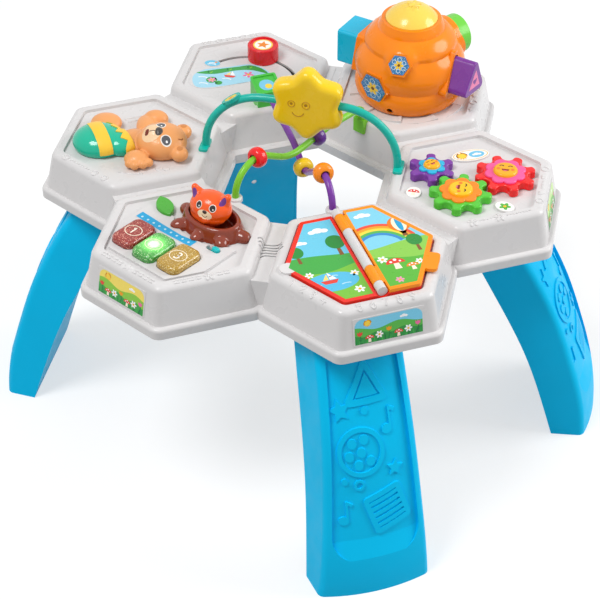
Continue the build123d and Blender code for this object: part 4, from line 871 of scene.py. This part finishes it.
def meadow_page(sheet):
    """Left page: a pond with a paper boat."""
    backdrop(sheet, PAGE_LEFT, "#6fcdea", "#7cc443", "#47ad4c", 8)
    sheet.fill(oval(-44, -38, 30, 16), "#5bc0e6", 3)
    for x, y in ((-62, -42), (-30, -46), (-40, -30)):
        sheet.line(arc(x, y, 6, 30, 150, 8, 0.4), 1.2, "#c9ecf8", 4)
    cloud(sheet, -30, 52, 13, 3)
    cloud(sheet, -56, 36, 9, 3)
    round_tree(sheet, -66, 2, 30, TREE_GREEN, 3)
    round_tree(sheet, -18, 4, 36, "#2a8a3e", 3)
    boat(sheet, -46, -38, 17, 4)
    for x, y, r in ((-20, -58, 6), (-64, -20, 5), (-16, -30, 5)):
        daisy(sheet, x, y, r, SNOW, GOLD, 3)
    sheet.clip(PAGE_LEFT)


def hill_page(sheet):
    """Right page: a rainbow and a balloon over hills."""
    backdrop(sheet, PAGE_RIGHT, "#86d5ee", "#5fb83f", "#8fcf55", 0)
    for i, colour in enumerate(("#f0563f", "#f9a62b", "#f8e04a", "#58b85a", "#3b8fd4")):
        sheet.line(arc(26, -6, 44 - 4.2 * i, 20, 160, 22), 4.2, colour, 3)
    balloon(sheet, 58, 32, 13, 3)
    cloud(sheet, 24, 58, 11, 3)
    mushroom(sheet, 30, -44, 20, POPPY, 3)
    mushroom(sheet, 46, -50, 13, "#f08a2a", 3)
    round_tree(sheet, 64, -20, 30, TREE_GREEN, 3)
    for x, y, r, petals in ((18, -24, 6, SNOW), (24, -62, 5, "#f59ac0"), (56, -38, 5, SNOW)):
        daisy(sheet, x, y, r, petals, GOLD, 3)
    sheet.clip(PAGE_RIGHT)


def sea_page(sheet, outline):
    """The pages that show when the leaf is turned: boats on the sea."""
    sheet.fill(outline, "#9ddcf2", 0)
    side = 1 if outline is PAGE_RIGHT else -1
    for i, colour in enumerate(("#4db5e2", "#2f9ad0", "#2384bd")):
        sheet.fill(hill(-90, 90, -80, -8 - 20 * i, 3, 5, 1.4 * i), colour, 1 + i)
    boat(sheet, side * 42, -4, 26, 4)
    boat(sheet, side * 24, -40, 16, 4)
    sun(sheet, side * 52, 44, 9, 1)
    cloud(sheet, side * 26, 46, 11, 2)
    sheet.clip(outline)


def book_prints():
    left, right, under, board = Sheet(), Sheet(), Sheet(), Sheet()
    meadow_page(left)
    hill_page(right)
    sea_page(under, PAGE_LEFT)
    sea_page(board, PAGE_RIGHT)
    left.lay("book_print_left", out(BOOK, 0, 0, BOARD_Z + HAIR, 90))
    right.lay("book_print_right", out(BOOK, 0, 0, PAGE_TOP_Z + HAIR, 90), "flip_page")
    board.lay("book_print_board", out(BOOK, 0, 0, BOARD_Z + HAIR, 90))
    under.lay("book_print_under", out(BOOK, 0, 0, PAGE_LOW_Z - HAIR, 90) @ turned(180, "Y"), "flip_page")


book_prints()


# labels on the walls

LABEL_EDGE, LABEL_HALF_H, LABEL_R = 1.6, 15.0, 9.0   # bare edge, half height and rounded upper corners


def meadow_label(name, tray, normal, half, sky, high, low, seed):
    sheet = Sheet()
    w, h, r = half - LABEL_EDGE, LABEL_HALF_H, LABEL_R
    frame_line = [(-w, -h), (w, -h)] + arc(w - r, h - r, r, 0, 90, 6) + arc(r - w, h - r, r, 90, 180, 6)
    sheet.fill(frame_line, sky, 0)
    sheet.fill(hill(-w, w, -h, 3, 2.5, 1.5, seed), high, 1)
    sheet.fill(hill(-w, w, -h, -5, 2.0, 2.5, seed + 1), low, 2)
    sun(sheet, -w * 0.62, 9, 3.0, 1)
    cloud(sheet, w * 0.45, 9, 5, 1)
    grass(sheet, -w, w, -h, 9, GREENS, 3, 26)
    for i in range(7):
        x = -w + 2 * w * (i + 0.5) / 7
        if i % 3 == 0:
            tulip(sheet, x, -h + 1, 15, ("#e8473a", "#f2a01f", "#f06fa5")[i // 3 % 3], 5)
        elif i % 3 == 1:
            mushroom(sheet, x, -h + 1, 9, POPPY, 5)
        else:
            daisy(sheet, x, -h + 8, 4.4, SNOW, GOLD, 5)
    sheet.clip(frame_line)
    sheet.lay(name, on_wall(tray, normal))


meadow_label("wall_print_fox", FOX, 240, 36, "#fbe36a", "#8fce45", "#3aa548", 0.4)
meadow_label("wall_print_book", BOOK, 300, 40, "#7dd0ee", "#58b84a", "#2b9440", 1.7)
meadow_label("wall_print_gears", GEARS, 0, 32, "#bfe58a", "#6cc048", "#2f9a44", 2.9)


def strip_print():
    s = Sheet()
    band = [(-5.4, -59.4), (5.4, -59.4), (7.3, -20), (6.4, 25.4), (-5.3, 25.4), (-2.4, 5), (-3.4, -25)]
    s.fill(band, "#27a8dc", 0)
    for i in range(9):
        s.fill(oval(1.6, -53 + 9 * i, 1.5, n=12), "#bfe7f7", 1)
    s.lay("strip_print", out(FOX, 4.5, -2, STRIP_TOP_Z))


def pond_prints():
    s = Sheet()
    shore = [(-64, -42), (-50, -45), (-22, -33.5), (9, -16), (29, -5), (19, 14), (-4, 23), (-32, 10),
             (-60, -1.5), (-71, -20)]
    rim_line = smooth_loop(spin([(x + 22, y + 11) for x, y in shore], -22, -11, 0, 0.955))
    s.fill(rim_line, "#a9ddf2", 0)
    bank = [(-66, -12), (-58, -6), (-40, 3), (-20, 12), (-4, 19), (12, 14), (22, 4), (12, 6), (-2, 8),
            (-20, 3), (-44, -10)]
    s.fill(smooth_loop(bank), "#3aa34a", 1)
    for x, y in ((-52, -36), (-26, -20), (2, -8), (-56, -22), (14, -4)):
        s.line(arc(x, y, 6, 20, 160, 8, 0.5), 1.4, SNOW, 1)
    for x, y in ((-52, -9), (-30, 2), (-6, 12)):
        s.line([(x, y), (x - 1, y + 5)], 1.6, "#14753a", 2)
        s.line([(x + 2.5, y), (x + 4.5, y + 4)], 1.4, "#8fce45", 2)
    lily_pad(s, -44, -24, 7, 40, 2)
    lily_pad(s, -34, -29, 4.6, 200, 2)
    daisy(s, -44, -24, 5.4, "#f59ac0", GOLD, 3)
    daisy(s, -2, -3, 7, "#ee6fa0", GOLD, 2, 5)
    boat(s, -24, -12, 13, 3)
    s.lay("pond_print", at(POND, 0, 0, POND_TOP_Z))
    d = Sheet()
    d.fill(oval(-52.5, 14.5, 9.8, 6.8), "#6cc8ea", 0)
    d.line(arc(-52.5, 13, 4.4, 20, 160, 8, 0.6), 1.4, SNOW, 1)
    d.line(arc(-52.5, 9.5, 6.4, 30, 150, 8, 0.5), 1.4, SNOW, 1)
    d.fill(oval(-48.5, 17.5, 2.0, 1.4, n=12), "#f2932b", 1)
    d.lay("pond_dot_print", at(POND, 0, 0, POND_TOP_Z))


def garden_prints():
    s = Sheet()
    s.fill(oval(0, 0, 22.6, 11.1, n=40), PAPER, 0)
    s.line(oval(0, 0, 20.8, 9.4, n=40) + [(20.8, 0)], 0.9, "#f4b63a", 1)
    sun(s, -10.5, 0, 4.6, 1)
    s.fill(oval(7.5, 0, 9.5, 6.4), "#74c7ea", 1)
    cloud(s, 7.5, -0.4, 6.4, 2)
    s.lay("garden_print_sky", at(GEARS, -6.5, 47, PLAQUE_TOP_Z, 27))
    s = Sheet()
    s.fill(oval(0, 0, 8.3, 10.3), PAPER, 0)
    mushroom(s, 0, -6.5, 12.5, "#e63a2c", 1)
    s.lay("garden_print_cap", at(GEARS, -60.5, -40.5, PLAQUE_TOP_Z))
    s = Sheet()
    s.fill(oval(0, 0, 11.2, 8.7), PAPER, 0)
    for turn in (0, 72, 144, 216, 288):
        s.fill(spin(oval(0, 3.6, 2.2, 3.4, n=16), 0, 0, turn), "#5cb947", 1)
    s.fill(oval(0, 0, 2.0, n=14), "#f6c92d", 2)
    s.lay("garden_print_leaf", at(GEARS, 45, -47.5, PLAQUE_TOP_Z, -20))


def hive_prints():
    for i, (azimuth, r, z, tilt, size) in enumerate(HIVE_PLAQUES):
        s = Sheet()
        for k in range(6):
            cell = spin(hexagon(size * 0.2), *polar(size * 0.62, 60 * k + 30))
            s.line(cell + cell[:1], 0.7, "#d9efff", 0)
        daisy(s, 0, 0, size * 0.5, "#ffd23c", "#7a4a18", 1)
        s.lay("hive_print_%d" % (i + 1), on_hive(azimuth, r, z, tilt) @ moved(0, 0, PLAQUE_LIFT), "hive")


def block_prints():
    prints = {name: Sheet() for name in ("purple", "blue", "green")}
    prints["purple"].fill([polar(15.5, a + BLOCK_TURN) for a in (90, 210, 330)], "#f07fb0", 0)
    prints["purple"].fill(heart(0, 0.5, 6.0), "#7c2f92", 1)
    daisy(prints["blue"], 0, 0, 15, SNOW, "#f6c92d", 0)
    prints["green"].fill(star_points(0, 0, 14, 6.5), "#ffe14d", 0)
    for name, s in prints.items():
        azimuth, r, z = BLOCKS[name]
        s.lay("block_print_" + name, on_hive(azimuth, r + BLOCK_LIFT, z), "block_" + name)


ARCH_TAG_X, ARCH_TAG_Z, ARCH_TAG_TILT = -82.0, 416.0, -35.0


def small_prints():
    d = Decal(NODES["slider_drum"], Matrix.Translation(top_of("slider_drum")))
    d.patch(oval(0, 0, 12.5, n=32), "#f9cf4a", 0.05)
    d.patch(oval(0, 0, 10.6, n=32), "#fdf9ef", 0.09)
    d.patch(star_points(0, 0, 8.6, 4.0), "#f08a24", 0.13, rings=2)
    d.done("drum_print", "slider_drum")
    d = Decal(NODES["picture_box"], Matrix.Translation(top_of("picture_box")) @ turned(POND - 90))
    d.patch(oval(0, 0, 9.5, 9.5), "#7fcdec", 0.05)
    d.patch(oval(1.5, -2.5, 4.2, 4.2), SUNNY, 0.09, rings=2)
    d.done("picture_print", "table")
    d = Decal(NODES["teal_arch"], moved(ARCH_TAG_X, 0, ARCH_TAG_Z) @ turned(ARCH_TAG_TILT, "Y"))
    d.patch(oval(0, 0, 8.5, 4.2), "#e9d34a", 0.05, rings=3)
    d.patch(star_points(0, 0, 3.2, 1.5), "#f2832b", 0.09, rings=2)
    d.done("arch_tag_print", "table")


# strokes of the numbers in a square of side 1
DIGITS = {
    1: [[(0.3, 0.8), (0.52, 1), (0.52, 0)]],
    2: [arc(0.5, 0.7, 0.3, 170, -30, 10) + [(0.18, 0), (0.85, 0)]],
    3: [arc(0.48, 0.74, 0.26, 150, -90, 9) + arc(0.48, 0.26, 0.28, 90, -150, 10)],
    4: [[(0.66, 0), (0.66, 1), (0.14, 0.32), (0.9, 0.32)]],
    5: [[(0.82, 1), (0.26, 1), (0.22, 0.56)] + arc(0.48, 0.32, 0.32, 110, -150, 11)],
    6: [[(0.72, 0.98)] + arc(0.5, 0.3, 0.3, 150, 510, 18)],
    7: [[(0.16, 1), (0.84, 1), (0.4, 0)]],
    8: [arc(0.5, 0.74, 0.24, -90, 270, 14), arc(0.5, 0.26, 0.27, 90, 450, 14)],
    9: [arc(0.5, 0.7, 0.28, -20, 340, 16) + [(0.74, 0.5), (0.46, 0)]],
}


def digit(decal, number, x, y, size, width, colour, lift, dome=0.0):
    for line in DIGITS[number]:
        marks = spin([(a - 0.5, b - 0.5) for a, b in line], x, y, 0, size)
        decal.stroke(dense(marks, 1.0), width, colour, lift, dome)


# each key's middle in its tray, and its number
KEYS = {"red": (38.0, -36.0, 1), "green": (41.0, -1.5, 2), "gold": (38.0, 33.0, 3)}


def key_prints():
    for name, (u, v, number) in KEYS.items():
        d = Decal(NODES["key_" + name], out(FOX, u, v, KEY_ABOVE_Z, 90))
        d.stroke(dense(oval(0, 0, 10.5, 8.6, n=36), closed=True), 0.9, "#fff2d8", 0.05)
        digit(d, number, 0, 0, 10.0, 1.8, "#fff7e6", 0.08)
        d.done("key_print_" + name, "key_" + name)


strip_print()
pond_prints()
garden_prints()
hive_prints()
block_prints()
small_prints()
key_prints()


# raised marks on the white rims and the button

def rim(tray, normal):
    """The middle of one side of a tray's rim: x along it, y inwards."""
    return at(tray, *polar(RIM_MID, normal), RIM_Z, normal + 90)


def book_digits():
    for normal, numbers in ((240, (1, 2, 3, 4)), (300, (5, 6, 7, 8, 9))):
        d = Decal(NODES["shell_fox_book"], rim(BOOK, normal))
        for i, number in enumerate(numbers):
            x = DIGIT_PITCH * (i - (len(numbers) - 1) / 2)
            digit(d, number, x, -1.5, 8.5, 1.7, SNOW, MARK_LIFT, EMBOSS)
        d.done("rim_digits_%d" % normal, "table", WHITE)


# rows of marks: the shell, the tray, the way that the rim's side faces, and the shapes
RIM_ROWS = {
    "gears": ("shell_gears_hive", GEARS, 300, "flower dots flower dots dots"),
    "gears_side": ("shell_gears_hive", GEARS, 0, "ring heart dots heart ring"),
    "fox": ("shell_fox_book", FOX, 240, "dash dash star dash dash"),
    "fox_front": ("shell_fox_book", FOX, 300, "dash dash flower dash"),
    "bear": ("shell_pond_bear", BEAR, 240, "ring dots dots ring ring"),
    "pond": ("shell_pond_bear", POND, 120, "dash ring dash ring dash"),
    "hive": ("shell_gears_hive", HIVE, 0, "star ring star ring star"),
}


def rim_marks(name, node, tray, normal, shapes):
    """A row of raised shapes along one side of a tray."""
    d = Decal(NODES[node], rim(tray, normal))
    for i, kind in enumerate(shapes):
        x = MARK_PITCH * (i - (len(shapes) - 1) / 2)
        if kind == "flower":
            for turn in range(18, 378, 72):
                dx, dy = polar(4.0, turn)
                d.relief(oval(x + dx, dy, 2.6, 1.9, turn, 16))
            d.relief(oval(x, 0, 1.9, n=16))
        elif kind == "heart":
            d.relief(heart(x, 0, 5.6))
        elif kind == "star":
            d.relief(star_points(x, 0, 5.6, 2.9))
        elif kind == "ring":
            d.ridge(oval(x, 0, 4.0, n=24), 1.5, closed=True)
        elif kind == "dots":
            for k in (-6.0, -2.0, 2.0, 6.0):
                d.relief(oval(x + k, 0, 1.1, n=12))
        else:
            for y in (-2.0, 2.0):
                for start in (x - 6.5, x + 1.5):
                    d.ridge([(start, y), (start + 5.0, y)], 1.5)
    d.done(name, "table", WHITE)


def arrows():
    """Curved arrows beside the bear, clear of its swing, and two bumps by its paw."""
    d = Decal(NODES["shell_pond_bear"], at(BEAR, 0, 0, PAN_Z))
    for cx, cy, r, start, end in ((16, -2, 59, 111, 131), (16, -2, 52, 115, 130), (6, -8, 60, 262, 286)):
        line = arc(cx, cy, r, start, end, 14)
        d.ridge(line, 1.8)
        (x, y), (dx, dy) = line[-1], headings(line)[-1]
        d.relief([(x + dx * 4, y + dy * 4), (x - dy * 3, y + dx * 3), (x + dy * 3, y - dx * 3)])
    d.relief(oval(42, -53, 4.4, 3.6))
    d.relief(oval(49.5, -50, 4.6, 3.8))
    d.done("bear_tray_marks", "table", WHITE)


def button_flower():
    d = Decal(NODES["hive_button"], at(HIVE, 0, 0, BUTTON_ABOVE_Z))
    for turn in range(0, 360, 60):
        d.patch(oval(*polar(9.0, turn), 5.6, 4.0, turn), SNOW, 0.03, 0.7, 3)
    d.patch(oval(0, 0, 4.2), SNOW, 0.05, 0.9, 3)
    d.done("button_flower", "hive_button", FINISHES["hive_button"])


book_digits()
for name, (node, tray, normal, shapes) in RIM_ROWS.items():
    rim_marks("rim_marks_" + name, node, tray, normal, shapes.split())
arrows()
button_flower()


# scoops round the hive's foot

SCOOPS = 10                      # one rises to each rib of the tray
SCOOP_IN, SCOOP_OUT = 62.6, 73.2
SCOOP_FROM, SCOOP_TO = -13.5, 19.5   # degrees, the rib stands near the end
SCOOP_LOW, SCOOP_TOP = 0.05, 3.05
SCOOP_STEPS = 14
SCOOP_CURVE = 1.7                # above 1 is hollow


def scoop():
    """One low ramp about the hive's axis, from nothing up to its drop, closed all round."""
    bm = bmesh.new()
    rows = []
    for k in range(SCOOP_STEPS + 1):
        share = k / SCOOP_STEPS
        high = SCOOP_LOW + (SCOOP_TOP - SCOOP_LOW) * share ** SCOOP_CURVE
        turn = turned(SCOOP_FROM + (SCOOP_TO - SCOOP_FROM) * share)
        row = ((SCOOP_IN, MARK_LIFT), (SCOOP_OUT, MARK_LIFT), (SCOOP_OUT, high), (SCOOP_IN, high))
        rows.append([bm.verts.new(turn @ Vector((r * MM, 0, z * MM))) for r, z in row])
    for low, high in zip(rows, rows[1:]):
        for k in range(4):
            bm.faces.new((low[k], low[k - 1], high[k - 1], high[k]))
    bm.faces.new(rows[0])
    bm.faces.new(rows[-1][::-1])
    bmesh.ops.recalc_face_normals(bm, faces=bm.faces[:])
    return to_mesh(bm, "scoop")


def ring_tree():
    """Tree that sets copies of a piece evenly about the upright axis. Comes with its inputs' identifiers."""
    tree = bpy.data.node_groups.new("ring_of_pieces", "GeometryNodeTree")
    sockets = {}
    for name, way, kind in (("Piece", "INPUT", "Geometry"), ("Count", "INPUT", "Int"),
                            ("Finish", "INPUT", "Material"), ("Ring", "OUTPUT", "Geometry")):
        made = tree.interface.new_socket(name, in_out=way, socket_type="NodeSocket" + kind)
        sockets[name] = made.identifier
    given = add(tree, "NodeGroupInput").outputs
    points = add(tree, "GeometryNodePoints", {"Count": given["Count"]}).outputs[0]
    index = add(tree, "GeometryNodeInputIndex").outputs["Index"]
    angle = reckon(tree, "MULTIPLY", index, reckon(tree, "DIVIDE", math.tau, given["Count"]))
    turn = add(tree, "CombineXYZ", {"Z": angle}).outputs["Vector"]
    inputs = {"Points": points, "Instance": given["Piece"], "Rotation": turn}
    copies = add(tree, "GeometryNodeInstanceOnPoints", inputs).outputs["Instances"]
    real = add(tree, "GeometryNodeRealizeInstances", {"Geometry": copies}).outputs["Geometry"]
    coat = add(tree, "GeometryNodeSetMaterial", {"Geometry": real, "Material": given["Finish"]})
    add(tree, "NodeGroupOutput", {"Ring": coat.outputs["Geometry"]})
    return tree, sockets


def hive_scoops():
    maker = linked("scoop_maker", scoop())
    tree, sockets = ring_tree()
    ring = maker.modifiers.new("ring", "NODES")
    ring.node_group = tree
    ring[sockets["Count"]] = SCOOPS
    ring[sockets["Finish"]] = WHITE
    mesh = plain_mesh(maker)
    mesh.transform(at(HIVE, 0, 0, PAN_Z))
    settle("hive_scoops", mesh, "table", WHITE)


hive_scoops()


# floor, light and camera

FLOOR_HALF = 6.0   # metres
FLOOR_LIFT = 0.6   # seen floor, brought up to white where no shadow falls
SKY = 0.45
CAMERA_AT = (0.3595, -1.7621, 1.5748)
CAMERA_TIP, CAMERA_TURN = 51.25, 11.57
CAMERA_LENS, CAMERA_SENSOR = 111.33, 36.0


def seen_rays(tree):
    """1 for rays that show the backdrop: straight from the camera, in a gloss or through clear plastic."""
    path = add(tree, "LightPath").outputs
    seen = path["Is Camera Ray"]
    for kind in ("Is Glossy Ray", "Is Transmission Ray"):
        seen = reckon(tree, "MAXIMUM", seen, path[kind])
    return seen


def flat_floor():
    mesh = bpy.data.meshes.new("studio_floor")
    corners = [(x * FLOOR_HALF, y * FLOOR_HALF, 0) for x, y in ((-1, -1), (1, -1), (1, 1), (-1, 1))]
    mesh.from_pydata(corners, [], [(0, 1, 2, 3)])
    floor = linked("studio_floor", mesh)
    material, tree, shader, where = new_finish("floor_white", 0.0, 0.0)
    dull, bright = (0.44, 0.44, 0.44, 1), (0.46, 0.46, 0.46, 1)
    tone = ramp(tree, noise(tree, where, 3.0), (NOISE_LOW, dull), (NOISE_HIGH, bright))
    lift = reckon(tree, "MULTIPLY", seen_rays(tree), FLOOR_LIFT)
    give(shader, {"Base Color": tone, "Roughness": 0.9, "Emission Color": PLAIN, "Emission Strength": lift})
    mesh.materials.append(material)


def soft_box(name, place, aim, size, watts):
    data = bpy.data.lights.new(name, "AREA")
    data.shape = "DISK"
    data.size = size
    data.energy = watts
    lamp = linked(name, data)
    lamp.location = place
    lamp.rotation_euler = (Vector(place) - Vector(aim)).to_track_quat("Z", "Y").to_euler()


def sky_white(strength):
    """Even light from all round, behind which the backdrop shows plain white."""
    world = bpy.data.worlds.new("studio")
    bpy.context.scene.world = world
    world.use_nodes = True
    tree = world.node_tree
    light = tree.nodes["Background"]
    give(light, {"Color": PLAIN, "Strength": strength})
    white = add(tree, "Background", {"Color": PLAIN})
    mix = add(tree, "MixShader", {0: seen_rays(tree), 1: light.outputs[0], 2: white.outputs[0]})
    give(tree.nodes["World Output"], {"Surface": mix.outputs[0]})


def photo_camera():
    data = bpy.data.cameras.new("photo_camera")
    data.lens = CAMERA_LENS
    data.sensor_width = CAMERA_SENSOR
    data.dof.use_dof = False
    camera = linked("photo_camera", data)
    camera.location = CAMERA_AT
    camera.rotation_euler = (math.radians(CAMERA_TIP), 0.0, math.radians(CAMERA_TURN))
    bpy.context.scene.camera = camera


flat_floor()
sky_white(SKY)
soft_box("key_light", (-1.0, -1.1, 2.9), (0, 0, 0.3), 1.2, 50)
soft_box("fill_light", (2.3, 0.6, 1.5), (0, 0, 0.3), 1.6, 42)
photo_camera()
bpy.context.scene.view_settings.view_transform = "Standard"
